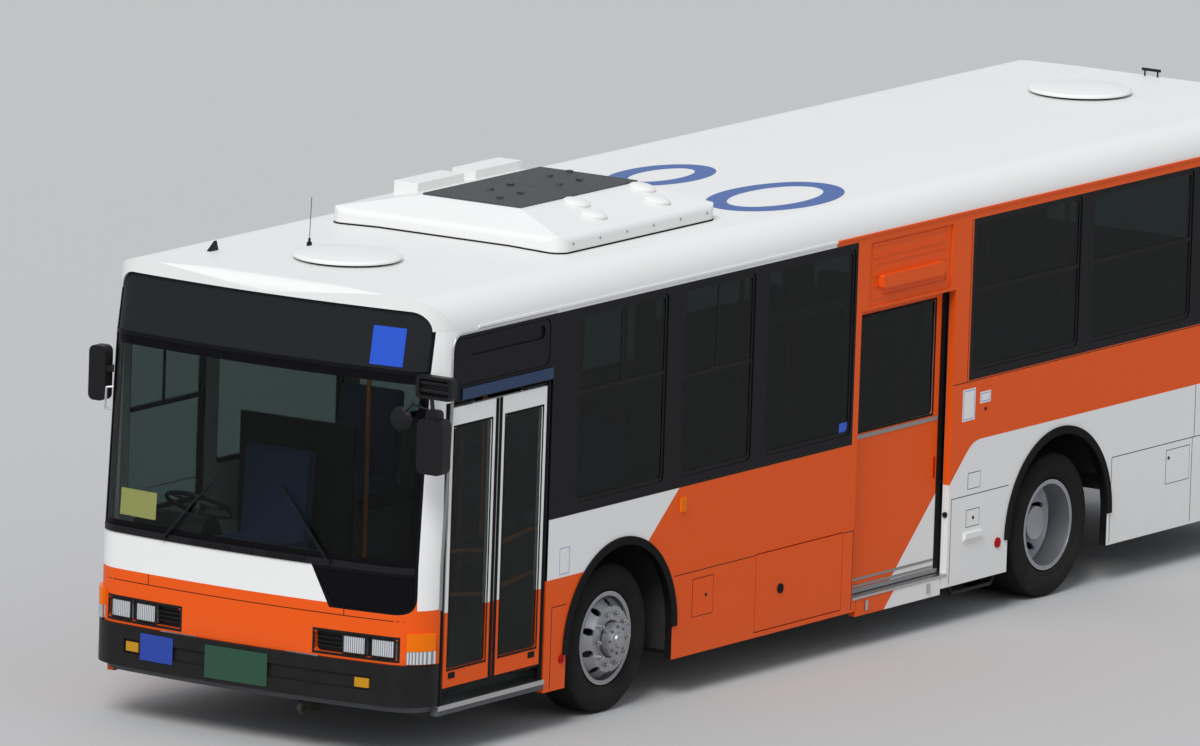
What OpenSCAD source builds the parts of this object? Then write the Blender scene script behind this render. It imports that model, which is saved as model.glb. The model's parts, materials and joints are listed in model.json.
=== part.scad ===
// Airport passenger bus with low front floor, two-leaf front door and sliding middle door.
// Millimetres. +X is forward, +Y is the door side, +Z is up. The origin is on the ground,
// midway along and across the body.

/* [Body] */
// Length from front bumper to rear bumper
body_length = 10925; // [10900:5:11200]
// Width over the side panels
body_width = 2490; // [2480:5:2500]
// Height of the roof at its middle
roof_z = 2950; // [2940:5:2990]
// Height of the drip line where the roof meets the sides
drip_z = 2730; // [2720:2:2740]
// Height of the skirt's lower edge
skirt_z = 262; // [250:2:275]
// Thickness of the body walls and doors
wall = 50; // [40:1:55]
// Radius of the roof's rounded edge along the sides
cove_r = 210; // [180:5:215]

/* [Front] */
// Front overhang from the front axle to the bumper
front_overhang = 2430; // [2425:1:2440]
// How far the front panel stands behind the bumper
bumper_reach = 30; // [25:1:40]
// Plan radius of the bowed front
front_bow_r = 8000; // [7000:100:9000]
// Plan radius of the front corners
front_corner_r = 250; // [230:5:255]
// Height of the windscreen's lower edge
screen_z = 1250; // [1240:2:1260]
// Height of the bar between windscreen and destination glass
divider_z = 2480; // [2470:2:2500]
// Height of the destination glass's upper edge
sign_top_z = 2850; // [2840:2:2860]
// Backward lean of the windscreen in degrees
screen_lean = 3.3; // [2:0.1:4]
// Backward lean of the destination glass in degrees
sign_lean = 9.5; // [8:0.5:11]
// Half the width of the front glass
screen_half_w = 1165; // [1150:1:1175]
// Thickness of the window glass
glass_t = 8; // [5:1:10]

/* [Rear] */
// Plan radius of the rear corners
rear_corner_r = 160; // [140:5:200]

/* [Axles and wheels] */
// Distance between the axles
wheelbase = 5300; // [5290:1:5320]
// Outer diameter of a tyre
tyre_d = 957; // [930:1:965]
// Width of a tyre
tyre_w = 275; // [255:1:280]
// Diameter of the rim's bead seat
bead_d = 571.5; // [571.5:0.5:575]
// Distance between the middles of the front tyres
front_track = 2055; // [2040:1:2060]
// Distance between the middles of the outer rear tyres
rear_track = 2115; // [2105:1:2120]
// Distance between the middles of twin tyres
twin_pitch = 305; // [300:1:315]
// Radius of the wheel arches
arch_r = 620; // [605:1:630]

/* [Floor] */
// Height of the low floor
low_floor_z = 350; // [345:1:356]
// Height of the rear floor
high_floor_z = 760; // [750:5:780]
// Height of the deck over the engine
engine_deck_z = 1200; // [1180:5:1230]
// Thickness of the floor
floor_t = 30; // [20:1:30]

/* [Doors] */
// Front edge of the front doorway, ahead of the front axle
front_door_x1 = 2080; // [2075:1:2084]
// Rear edge of the front doorway, ahead of the front axle
front_door_x0 = 870; // [860:1:880]
// Head of the front doorway
front_door_z1 = 2270; // [2260:2:2280]
// Sill of the front doorway
front_door_z0 = 362; // [360:1:368]
// Front edge of the middle doorway, behind the front axle
mid_door_x1 = -2780; // [-2785:1:-2775]
// Rear edge of the middle doorway, behind the front axle
mid_door_x0 = -3930; // [-3935:1:-3925]
// Head of the middle doorway
mid_door_z1 = 2225; // [2220:1:2230]
// Thickness of a door leaf
leaf_t = 32; // [28:1:36]
// Running gap round a door or lid
gap = 8; // [7:0.5:9]

/* [Hidden] */
$fn = 48;
FINE = 720;
EPS = 1;
FAR = 20000;

half_w = body_width / 2;
inner_w = half_w - wall;
front_axle_x = body_length / 2 - front_overhang;
rear_axle_x = front_axle_x - wheelbase;
front_x = body_length / 2 - bumper_reach;
rear_x = -body_length / 2 + bumper_reach;
axle_z = tyre_d / 2;

// Plan of the bowed front: bow centre, corner centre and the ray between them
bow_x = front_x - front_bow_r;
corner_y = half_w - front_corner_r;
corner_x = bow_x + sqrt(pow(front_bow_r - front_corner_r, 2) - pow(corner_y, 2));
bow_angle = asin(corner_y / (front_bow_r - front_corner_r));

// Setbacks of the leaning front glass
sign_back = (divider_z - screen_z) * tan(screen_lean);
roof_back = sign_back + (drip_z - divider_z) * tan(sign_lean);

bumper_z0 = 365;
bumper_z1 = 630;
ceiling_z = roof_z - wall;

// Window openings: distance from the front axle to the front and rear edge, sill and head
front_belt_z = 1372;
rear_belt_z = 1600;
belt_step_x = -4070;
front_sill_z = 1436;
rear_sill_z = 1655;
window_head_z = 2655;
window_r = 45;
frame_w = 28;
frame_d = 30;
X1 = 0; X0 = 1; Z0 = 2; Z1 = 3; SPLIT = 4;
left_windows = [
    [580, -460, front_sill_z, window_head_z, 0.57],
    [-640, -1490, front_sill_z, window_head_z, 0.52],
    [-1635, -2690, front_sill_z, window_head_z, 0],
    [-4150, -5470, rear_sill_z, window_head_z, 0.52],
    [-5610, -6880, rear_sill_z, window_head_z, 0.52],
    [-7020, -8080, rear_sill_z, window_head_z, 0.52]];
right_windows = [
    [1990, 1130, 1230, 2560, 0.5],
    [990, -460, front_sill_z, window_head_z, 0.57],
    [-640, -1490, front_sill_z, window_head_z, 0.57],
    [-1635, -2690, front_sill_z, window_head_z, 0.57],
    [-2835, -3990, front_sill_z, window_head_z, 0.57],
    [-4150, -5800, rear_sill_z, window_head_z, 0.52],
    [-7020, -8080, rear_sill_z, window_head_z, 0.52]];

// Emergency door on the right, behind the rear arch, from the front axle
escape_x1 = -6010;
escape_x0 = -6850;
escape_z0 = high_floor_z + 10;
escape_z1 = 2560;

// Lids in the skirt: front edge, rear edge, lower edge, upper edge, from the front axle
service_lid = [-1610, -2640, 300, 800];
battery_lid = [-1100, -2050, 300, 800];
ramp_lid = [-2830, -3860, 225, 335];

// Engine lid in the tail
engine_lid_w = 1500;
engine_lid_z0 = 560;
engine_lid_z1 = 1330;
rear_window_w = 1700;
rear_window_z0 = 1700;
rear_window_z1 = 2520;

// Steering and wheel station sizes
kingpin_y = front_track / 2 - 170;
kingpin_r = 24;
spindle_r = 38;
hub_r = 110;
rim_r = bead_d / 2;
flange_r = rim_r + 12.7;
seat_gap = 0.3;

// Box from its two opposite corners
module block(lo, hi) {
    translate(lo) cube([hi[0] - lo[0], hi[1] - lo[1], hi[2] - lo[2]]);
}

// Points of an arc, for outlines with round corners
function arc_pts(at, r, a0, a1, steps) = [for (k = [0:steps])
    [at[0] + r * cos(a0 + (a1 - a0) * k / steps), at[1] + r * sin(a0 + (a1 - a0) * k / steps)]];

// Slot as wide as the seating gap that parts two panels; size is 0 across the joint
module joint_cut(at, size) {
    translate(at) cube([for (length = size) length > 0 ? length : seat_gap]);
}

// Rectangle with round corners, from its lower left corner
module round_rect(w, h, r) {
    translate([r, 0]) square([w - 2 * r, h]);
    translate([0, r]) square([w, h - 2 * r]);
    for (x = [r, w - r], y = [r, h - r]) translate([x, y]) circle(r);
}

// Rounded bar through a side wall: x0 to x1, z0 to z1, between y0 and y1
module side_cut(x0, x1, z0, z1, r, y0, y1) {
    translate([x0, y1, z0]) rotate([90, 0, 0])
        linear_extrude(y1 - y0) round_rect(x1 - x0, z1 - z0, r);
}

// Frame of rounded outline along a side wall
module side_ring(x0, x1, z0, z1, r, w, y0, y1) {
    difference() {
        side_cut(x0, x1, z0, z1, r, y0, y1);
        side_cut(x0 + w, x1 - w, z0 + w, z1 - w, r - w / 2, y0 - EPS, y1 + EPS);
    }
}

// Plan of the bowed front, inset from the outer skin, forward of x0
module front_plan(inset, x0) {
    intersection() {
        union() {
            intersection() {
                translate([bow_x, 0]) circle(front_bow_r - inset, $fn = FINE);
                polygon([[bow_x, 0],
                    [bow_x + FAR * cos(bow_angle), FAR * sin(bow_angle)],
                    [bow_x + FAR * cos(bow_angle), -FAR * sin(bow_angle)]]);
            }
            for (s = [-1, 1]) translate([corner_x, s * corner_y]) circle(front_corner_r - inset);
            translate([x0 - 10, inset - half_w])
                square([corner_x - x0 + 10, body_width - 2 * inset]);
        }
        translate([x0, -half_w]) square([FAR, body_width]);
    }
}

// Upright band that follows the bowed front
module front_band(inset, thick, z0, z1) {
    translate([0, 0, z0]) linear_extrude(z1 - z0) difference() {
        front_plan(inset, corner_x);
        front_plan(inset + thick, corner_x - EPS);
    }
}

// The same band leaning back about the line at height pivot_z, set back by back
module leaning_band(inset, thick, pivot_z, z0, z1, lean, back) {
    intersection() {
        translate([front_x - back, 0, pivot_z]) rotate([0, -lean, 0])
            translate([-front_x, 0, -pivot_z])
                front_band(inset, thick, z0 - 100, z1 + 100);
        block([0, -half_w, z0], [front_x + EPS, half_w, z1]);
    }
}

// Where the bowed front's outer skin stands at y
function bow_at(y) = bow_x + sqrt(pow(front_bow_r, 2) - pow(y, 2));

// Solid inside the leaning skin, used to trim the side walls to the corner's curve
module leaning_solid(pivot_z, z0, z1, lean, back) {
    intersection() {
        translate([front_x - back, 0, pivot_z]) rotate([0, -lean, 0])
            translate([-front_x, 0, z0 - 100 - pivot_z])
                linear_extrude(z1 - z0 + 200) front_plan(0, corner_x - 700);
        block([corner_x - 600, -half_w, z0], [front_x + EPS, half_w, z1]);
    }
}

// What lies outside the leaning skin next to the front corners
module lean_trim() {
    difference() {
        block([corner_x - 300, inner_w - 20, screen_z], [corner_x + EPS, half_w + EPS, drip_z + EPS]);
        leaning_solid(screen_z, screen_z - EPS, divider_z, screen_lean, 0);
        leaning_solid(divider_z, divider_z, drip_z + 2 * EPS, sign_lean, sign_back);
        block([corner_x - 301, 0, 0], [corner_x - 250, half_w + 10, FAR]);
    }
}

// Block that spans the front glass in Y, used to part glass from pillars
module glass_span(half, z0, z1) {
    block([corner_x - 400, -half, z0], [front_x + 100, half, z1]);
}

peep_z0 = 955;
peep_z1 = 1185;
peep_r = 90;
// Outline of the lower corner window on the door side, seen from the front
module peep_outline() {
    translate([corner_x - 300, 0, 0]) rotate([90, 0, 90]) linear_extrude(600)
        polygon([[475, peep_z1], [640, peep_z0],
            each arc_pts([screen_half_w - peep_r, peep_z0 + peep_r], peep_r, -90, 0, 5),
            [screen_half_w, peep_z1]]);
}

module wheel_arch_cut(x, y0, y1) {
    translate([x, y1, axle_z]) rotate([90, 0, 0]) cylinder(r = arch_r, h = y1 - y0, $fn = 96);
    block([x - arch_r, y0, 0], [x + arch_r, y1, axle_z]);
}

// Lid-shaped opening in the skirt with a running gap
module lid_cut(lid, y0, y1, grow) {
    block([front_axle_x + lid[X0] - grow, y0, lid[Z0] - grow],
        [front_axle_x + lid[X1] + grow, y1, lid[Z1] + grow]);
}

// Side wall on the door side's half, without its door and lid openings
module wall_blank(windows) {
    difference() {
        block([rear_x + rear_corner_r + seat_gap, inner_w, skirt_z],
            [corner_x - seat_gap, half_w, drip_z]);
        for (w = windows) side_cut(front_axle_x + w[X0], front_axle_x + w[X1], w[Z0], w[Z1],
            window_r, inner_w - EPS, half_w + EPS);
        for (x = [front_axle_x, rear_axle_x]) wheel_arch_cut(x, inner_w - EPS, half_w + EPS);
        lean_trim();
        // Joints along both belts, between them and beside the wheel arches
        step_x = front_axle_x + belt_step_x;
        joint_cut([step_x, 0, front_belt_z], [FAR, FAR, 0]);
        joint_cut([step_x - FAR, 0, rear_belt_z], [FAR, FAR, 0]);
        joint_cut([step_x, 0, 0], [0, FAR, FAR]);
        for (x = [arch_r - seat_gap / 2, -arch_r - seat_gap / 2]) {
            joint_cut([front_axle_x + x, 0, 0], [0, FAR, front_belt_z]);
            joint_cut([rear_axle_x + x, 0, 0], [0, FAR, rear_belt_z]);
        }
    }
    // Rain gutter under the roof
    block([rear_x + 200, half_w - EPS, drip_z - gutter_h], [corner_x - 330, half_w + gutter_t, drip_z]);
}

// Frames, or the glass inside them, for one side's windows
module window_set(windows, part) {
    for (w = windows) {
        x0 = front_axle_x + w[X0];
        x1 = front_axle_x + w[X1];
        bar_z = w[Z0] + (w[Z1] - w[Z0]) * w[SPLIT];
        y1 = half_w - 6;
        if (part == "frame") {
            side_ring(x0, x1, w[Z0], w[Z1], window_r, frame_w, y1 - frame_d, y1);
            if (w[SPLIT] > 0)
                block([x0 + frame_w, y1 - frame_d, bar_z], [x1 - frame_w, y1, bar_z + frame_w]);
        } else {
            difference() {
                side_cut(x0 + frame_w, x1 - frame_w, w[Z0] + frame_w, w[Z1] - frame_w,
                    window_r - frame_w / 2, y1 - 4 - glass_t, y1 - 4);
                if (w[SPLIT] > 0)
                    block([x0, y1 - 40, bar_z], [x1, y1 + 1, bar_z + frame_w]);
            }
        }
    }
}

// Pressed header over the front door and recessed header over the middle door
header_depth = 12;
gear_z0 = 2355;
gear_z1 = 2440;
press = 5;
module door_headers() {
    x = front_axle_x;
    side_ring(x + 915, x + 2030, 2370, 2672, 60, 10, half_w - press, half_w + EPS);
    side_cut(x + 980, x + 1840, 2547, 2632, 35, half_w - header_depth, half_w + EPS);
    difference() {
        side_cut(x - 3870, x - 2855, 2246, 2668, 12, half_w - header_depth, half_w + EPS);
        // Raised pressings of the recessed header and the door gear's box over them
        for (z = [2290, 2440, 2560]) side_ring(x - 3820, x - 2900, z, z + 92, 16, 14,
            half_w - header_depth - EPS, half_w - header_depth + press);
        side_cut(x - 3740, x - 2990, gear_z0, gear_z1, 14, half_w - wall, half_w + 2 * EPS);
    }
}

module left_side_wall() color("orangered") {
    // Box of the middle door's gear, standing out from its header
    side_cut(front_axle_x - 3740, front_axle_x - 2990, gear_z0, gear_z1, 14,
        half_w - header_depth, half_w + 28);
    // Drip rail over the front door
    block([front_axle_x + 885, half_w - EPS, 2280], [front_axle_x + 1920, half_w + 12, 2350]);
    // Track over the middle door, inside the wall, as long as the door's travel
    block([front_axle_x + mid_door_x0, mid_leaf_y1 - leaf_t, mid_leaf_z1 + seat_gap],
        [front_axle_x + mid_door_x1 + 1100, inner_w - seat_gap, mid_leaf_z1 + 60]);
    difference() {
        wall_blank(left_windows);
        block([front_axle_x + front_door_x0 - seat_gap / 2, inner_w - EPS, 0],
            [corner_x + EPS, half_w + EPS, front_door_z1]);
        // Bores for the heads of the front door's posts
        for (x = [forward_post_x, rearward_post_x]) translate([x, post_y, front_door_z1 - EPS])
            cylinder(r = pin_r + pin_play, h = 40);
        block([front_axle_x + mid_door_x0 - seat_gap / 2, inner_w - EPS, low_floor_z],
            [front_axle_x + mid_door_x1 + seat_gap / 2, half_w + EPS, mid_door_z1]);
        lid_cut(service_lid, inner_w - EPS, half_w + EPS, gap);
        door_headers();
        // Joints at the jambs of both doorways
        for (x = [mid_door_x0 - seat_gap, mid_door_x1, front_door_x0 - seat_gap])
            joint_cut([front_axle_x + x, 0, 0], [0, FAR, FAR]);
        block([front_axle_x + ramp_lid[X0] - gap, inner_w - EPS, 0],
            [front_axle_x + ramp_lid[X1] + gap, half_w + EPS, ramp_lid[Z1] + gap]);
    }
}

module right_side_wall() color("orangered") {
    mirror([0, 1, 0]) difference() {
        wall_blank(right_windows);
        lid_cut(battery_lid, inner_w - EPS, half_w + EPS, gap);
        block([front_axle_x + escape_x0 - gap, inner_w - EPS, escape_z0 - gap],
            [front_axle_x + escape_x1 + gap, half_w + EPS, escape_z1 + gap]);
    }
}

// Plan of the whole body at the roof, with the front set back under the leaning glass
module roof_plan() {
    translate([-roof_back, 0]) front_plan(0, 0);
    intersection() {
        translate([rear_x, -half_w]) round_rect(FAR, body_width, rear_corner_r);
        translate([-FAR, -half_w]) square([FAR, body_width]);
    }
    translate([-EPS, -half_w]) square([EPS + 100, body_width]);
}

// Section across the roof: a low crown between round edges
roof_front_r = 90;
crown_drop = 18;
crown_flat = 500;
cove_y = half_w - cove_r;
cove_z = roof_z - crown_drop - cove_r;
module roof_section(inset) {
    polygon([[inset - half_w, cove_z - 100], [inset - half_w, cove_z], [-cove_y, cove_z],
        [-cove_y, cove_z + cove_r - inset], [-crown_flat, roof_z - inset],
        [crown_flat, roof_z - inset], [cove_y, cove_z + cove_r - inset], [cove_y, cove_z],
        [half_w - inset, cove_z], [half_w - inset, cove_z - 100]]);
    for (s = [-1, 1]) translate([s * cove_y, cove_z]) circle(cove_r - inset);
}

// Long solid of that section from x0 to x1
module roof_prism(inset, x0, x1) {
    translate([x0, 0, 0]) rotate([90, 0, 90]) linear_extrude(x1 - x0) roof_section(inset);
}

// Opening for the destination glass, its upper corners round
sign_r = 120;
module sign_cut() {
    translate([corner_x - 400, -screen_half_w, divider_z - 2 * sign_r]) rotate([90, 0, 90])
        linear_extrude(800)
            round_rect(2 * screen_half_w, sign_top_z - divider_z + 2 * sign_r, sign_r);
}

gutter_t = 9;
gutter_h = 14;
module roof_shell() color("white") {
    difference() {
        intersection() {
            translate([0, 0, drip_z]) linear_extrude(400) roof_plan();
            roof_prism(0, rear_x - EPS, front_x);
            // Section along: round front and rear edges
            translate([rear_x, half_w, roof_z - 1000]) rotate([90, 0, 0])
                linear_extrude(body_width)
                    round_rect(front_x - roof_back - rear_x, 1000, roof_front_r);
        }
        roof_prism(wall, rear_x + wall + seat_gap / 2, corner_x - roof_back + seat_gap / 2);
        sign_cut();
        // Joints between the crown, the rounded edges and the two ends
        for (s = [-1, 1]) joint_cut([-FAR, s * cove_y - seat_gap / 2, 0], [2 * FAR, 0, FAR]);
        joint_cut([rear_x + wall, -FAR, 0], [0, 2 * FAR, FAR]);
        joint_cut([corner_x - roof_back, -FAR, 0], [0, 2 * FAR, FAR]);
    }
}

module front_panel() color("white") {
    difference() {
        front_band(0, wall, bumper_z1 - 70, screen_z);
        peep_outline();
        for (s = [-1, 1]) lamp_bay(s);
        for (s = [-1, 1]) joint_cut([corner_x, s * corner_y, 0], [FAR, 0, FAR]);
    }
    // Corner posts beside the glass
    difference() {
        union() {
            leaning_band(0, wall, screen_z, screen_z + seat_gap, divider_z, screen_lean, 0);
            leaning_band(0, wall, divider_z, divider_z + seat_gap, drip_z, sign_lean, sign_back);
        }
        glass_span(screen_half_w, screen_z - EPS, divider_z);
        sign_cut();
        block([corner_x - 400, -half_w - EPS, screen_z - EPS], [corner_x, half_w + EPS, drip_z + EPS]);
    }
    // Divider bar between the glasses
    intersection() {
        leaning_band(0, wall, screen_z, divider_z - 25, divider_z, screen_lean, 0);
        glass_span(screen_half_w, 0, drip_z);
    }
}

lamp_y0 = 505;
lamp_y1 = 1090;
lamp_z0 = 658;
lamp_z1 = 792;
module lamp_bay(s) {
    translate([corner_x - 100, 0, lamp_z0]) rotate([90, 0, 90]) linear_extrude(500)
        translate([s > 0 ? lamp_y0 : -lamp_y1, 0])
            round_rect(lamp_y1 - lamp_y0, lamp_z1 - lamp_z0, 30);
}

module windscreen() color("darkslategray") {
    intersection() {
        leaning_band(6, glass_t, screen_z, screen_z + seat_gap, divider_z - 25, screen_lean, 0);
        glass_span(screen_half_w, 0, drip_z);
    }
    intersection() {
        front_band(6, glass_t, 900, screen_z);
        peep_outline();
    }
}

module destination_glass() color("black") {
    intersection() {
        leaning_band(6, glass_t, divider_z, divider_z + seat_gap, sign_top_z, sign_lean, sign_back);
        sign_cut();
    }
}

module side_glass() color("darkslategray") {
    window_set(left_windows, "glass");
    mirror([0, 1, 0]) window_set(right_windows, "glass");
}

module window_frames() color("black") {
    window_set(left_windows, "frame");
    mirror([0, 1, 0]) window_set(right_windows, "frame");
}

// Plan of the tail, inset from the outer skin, behind x1
module rear_plan(inset, x1) {
    intersection() {
        translate([rear_x + inset, inset - half_w])
            round_rect(2 * FAR, body_width - 2 * inset, rear_corner_r - inset);
        translate([rear_x, -half_w]) square([x1 - rear_x, body_width]);
    }
}

module rear_band(inset, thick, z0, z1) {
    translate([0, 0, z0]) linear_extrude(z1 - z0) difference() {
        rear_plan(inset, rear_x + rear_corner_r);
        rear_plan(inset + thick, rear_x + rear_corner_r + EPS);
    }
}

// Cut through the tail, centred across
module tail_cut(w, z0, z1, r) {
    translate([rear_x - 100, -w / 2, z0]) rotate([90, 0, 90])
        linear_extrude(300) round_rect(w, z1 - z0, r);
}

tail_lamp_y = 1050;
module rear_panel() color("white") {
    difference() {
        rear_band(0, wall, bumper_z1, drip_z);
        tail_cut(rear_window_w, rear_window_z0, rear_window_z1, 90);
        block([rear_x - EPS, -engine_lid_w / 2 - gap, bumper_z1 - EPS],
            [rear_x + wall + EPS, engine_lid_w / 2 + gap, engine_lid_z1 + gap]);
        for (s = [-1, 1])
            block([rear_x - EPS, s * tail_lamp_y - 60, 700], [rear_x + 20, s * tail_lamp_y + 60, 1150]);
    }
}

module rear_window() color("darkslategray") {
    translate([rear_x + 10, -rear_window_w / 2, rear_window_z0]) rotate([90, 0, 90])
        linear_extrude(glass_t)
            round_rect(rear_window_w, rear_window_z1 - rear_window_z0, 90);
}

slot_z0 = 455;
slot_z1 = 545;
slot_half_w = 930;
slot_depth = 16;
module front_bumper() color("black") {
    difference() {
        translate([0, 0, bumper_z0]) linear_extrude(bumper_z1 - bumper_z0) difference() {
            translate([bumper_reach, 0]) front_plan(0, corner_x - bumper_reach);
            front_plan(0, corner_x - 2 * bumper_reach);
        }
        // Long slot with the fog lamps at its ends
        translate([0, 0, slot_z0]) linear_extrude(slot_z1 - slot_z0) intersection() {
            difference() {
                translate([bumper_reach + 10, 0]) front_plan(0, corner_x);
                translate([bumper_reach - slot_depth, 0]) front_plan(0, corner_x - 40);
            }
            translate([corner_x, -slot_half_w]) square([600, 2 * slot_half_w]);
        }
    }
}

module rear_bumper() color("black") {
    difference() {
        translate([0, 0, bumper_z0]) linear_extrude(bumper_z1 - bumper_z0) difference() {
            translate([-bumper_reach, 0]) rear_plan(0, rear_x + rear_corner_r + bumper_reach);
            rear_plan(60, rear_x + FAR);
        }
        block([rear_x - 200, -engine_lid_w / 2 - gap, engine_lid_z0 - gap],
            [rear_x + 200, engine_lid_w / 2 + gap, bumper_z1 + EPS]);
    }
}

// Box of plates over a wheel, open below, on the door side, standing on the floor at z0
house_t = 20;
module wheelhouse(x, y0, z0) {
    r = arch_r;
    top = house_z - house_t;
    block([x - r - house_t, y0, top], [x + r + house_t, inner_w, house_z]);
    block([x - r - house_t, y0, z0 + seat_gap], [x + r + house_t, y0 + house_t, top - seat_gap]);
    for (end_x = [x - r - house_t, x + r])
        block([end_x, y0 + house_t + seat_gap, z0 + seat_gap],
            [end_x + house_t, inner_w, top - seat_gap]);
}

// Floor plate parted along the wheelhouses, with a bay for each wheel at x
module floor_plate(x, house_y, z) {
    difference() {
        children();
        for (s = [-1, 1]) {
            joint_cut([-FAR, s * (house_y + house_t), z - 100], [2 * FAR, 0, 200]);
            block([x - arch_r, s > 0 ? house_y + house_t : -inner_w - EPS, z - 100],
                [x + arch_r, s > 0 ? inner_w + EPS : -house_y - house_t, z + EPS]);
        }
    }
}

front_house_y = 520;
rear_house_y = 570;
house_z = 1115;
riser_t = 20;
// Front face of the riser between the low and the high floor
riser_x = front_axle_x - 4030;
step_half_w = 300;
step_d = 280;
platform_h = 260;
platform_y = 330;
sill_h = 60;
module floor_deck() color("dimgray") {
    zf = low_floor_z;
    zh = high_floor_z;
    deck_x = rear_x + 1250;
    floor_plate(front_axle_x, front_house_y, zf)
        translate([0, 0, zf - floor_t]) linear_extrude(floor_t) front_plan(wall, riser_x + seat_gap);
    block([riser_x - riser_t, -inner_w, zf - floor_t], [riser_x, inner_w, zh]);
    floor_plate(rear_axle_x, rear_house_y, zh)
        block([deck_x, -inner_w, zh - floor_t], [riser_x - riser_t - seat_gap, inner_w, zh]);
    block([deck_x - riser_t - seat_gap, -inner_w, zh - floor_t],
        [deck_x - seat_gap, inner_w, engine_deck_z]);
    translate([0, 0, engine_deck_z - floor_t]) linear_extrude(floor_t)
        rear_plan(wall, deck_x - riser_t - 2 * seat_gap);
    // Step up to the rear floor
    block([riser_x + seat_gap, -step_half_w, zf + seat_gap],
        [riser_x + step_d, step_half_w, (zf + zh) / 2]);
    // Driver's platform
    block([front_axle_x + arch_r + house_t + seat_gap, -inner_w, zf + seat_gap],
        [corner_x - 250, -platform_y, zf + platform_h]);
    // Sill under the front door
    block([front_axle_x + front_door_x0, inner_w + seat_gap, zf - sill_h], [corner_x, half_w, zf]);
    for (s = [0, 1]) mirror([0, s, 0]) {
        wheelhouse(front_axle_x, front_house_y, zf);
        wheelhouse(rear_axle_x, rear_house_y, zh);
    }
}

rail_y = 390;
rail_w = 80;
rail_h = 180;
beam_h = 120;
// Cross beam at x with its outriggers, seated between the rails and outside them
module cross_beam(x, z0, z1) {
    inside = rail_y - rail_w / 2 - seat_gap;
    outside = rail_y + rail_w / 2 + seat_gap;
    block([x - rail_w / 2, -inside, z0], [x + rail_w / 2, inside, z1]);
    for (s = [0, 1]) mirror([0, s, 0])
        block([x - rail_w / 2, outside, z0], [x + rail_w / 2, inner_w, z1]);
}

module chassis_frame() color("black") {
    z0 = skirt_z;
    z1 = low_floor_z - floor_t;
    high_z = high_floor_z - floor_t;
    back_x = riser_x - riser_t;
    front_beam_x = corner_x - 100;
    for (s = [-1, 1]) {
        y0 = s * rail_y - rail_w / 2;
        y1 = s * rail_y + rail_w / 2;
        // Low rails under the front floor
        block([back_x + seat_gap, y0, z0], [front_beam_x - rail_w / 2 - seat_gap, y1, z1]);
        // High rails that carry the rear axle and the engine
        block([rear_x + 70, y0, high_z - rail_h], [back_x, y1, high_z]);
        block([back_x - rail_w, y0, z0], [back_x, y1, high_z - rail_h - seat_gap]);
    }
    for (x = [800, -800, -1600, -2700, -3900]) cross_beam(front_axle_x + x, z0, z1);
    for (x = [rear_axle_x + 800, tank_x]) cross_beam(x, high_z - beam_h, high_z);
    block([front_beam_x - rail_w / 2, -inner_w, z0], [front_beam_x + rail_w / 2, inner_w, z1]);
    // Tow eyes: the front one on the front beam, the rear one under its rail
    difference() {
        union() {
            block([front_beam_x + rail_w / 2 + seat_gap, tow_eye_y - 15, tow_eye_z - 38],
                [front_x - 85, tow_eye_y + 15, tow_eye_z + 38]);
            tow_eye_disc(front_x - 85, 45);
        }
        tow_eye_disc(front_x - 85, tow_eye_r);
    }
    difference() {
        union() {
            block([rear_x + 75, tow_eye_y - 15, tow_eye_z],
                [rear_x + 150, tow_eye_y + 15, high_z - rail_h - seat_gap]);
            tow_eye_disc(rear_x + 112, 45);
        }
        tow_eye_disc(rear_x + 112, tow_eye_r);
    }
}

tow_eye_y = 390;
tow_eye_z = 270;
tow_eye_r = 25;
module tow_eye_disc(x, r) {
    translate([x, tow_eye_y + 15, tow_eye_z]) rotate([90, 0, 0]) cylinder(r = r, h = 30);
}

engine_x1 = rear_x + 1180;
module engine() color("slategray") {
    engine_w = rail_y - rail_w / 2 - seat_gap;
    block([rear_x + 180, -engine_w, 400], [engine_x1, engine_w, 1120]);
}

pod_h = 190;
pod_shoulder = 100;
pod_edge_r = 45;
pod_x1 = front_axle_x + 270;
pod_x0 = front_axle_x - 1600;
pod_half_w = 880;
grille_x1 = front_axle_x - 45;
grille_x0 = front_axle_x - 1415;
grille_half_w = 370;

// Outline of the roof unit in one direction: round shoulders, slopes, and a flat from b to c
module pod_outline(a, b, c, d) {
    shoulder_z = roof_z + pod_shoulder - pod_edge_r;
    polygon([[a, roof_z - 40], each arc_pts([a + pod_edge_r, shoulder_z], pod_edge_r, 180, 105, 5),
        [b, roof_z + pod_h], [c, roof_z + pod_h],
        each arc_pts([d - pod_edge_r, shoulder_z], pod_edge_r, 75, 0, 5), [d, roof_z - 40]]);
}

// Round mesh cap on the slope of the roof unit
cap_r = 88;
cap_tilt = -10;
module vent_cap(x, y, z) {
    translate([x, y, z]) rotate([cap_tilt, 0, 0]) rotate_extrude()
        polygon([[0, -40], [cap_r, -40], [cap_r, 12], [cap_r - 12, 22], [cap_r / 2, 30], [0, 32]]);
}

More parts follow.
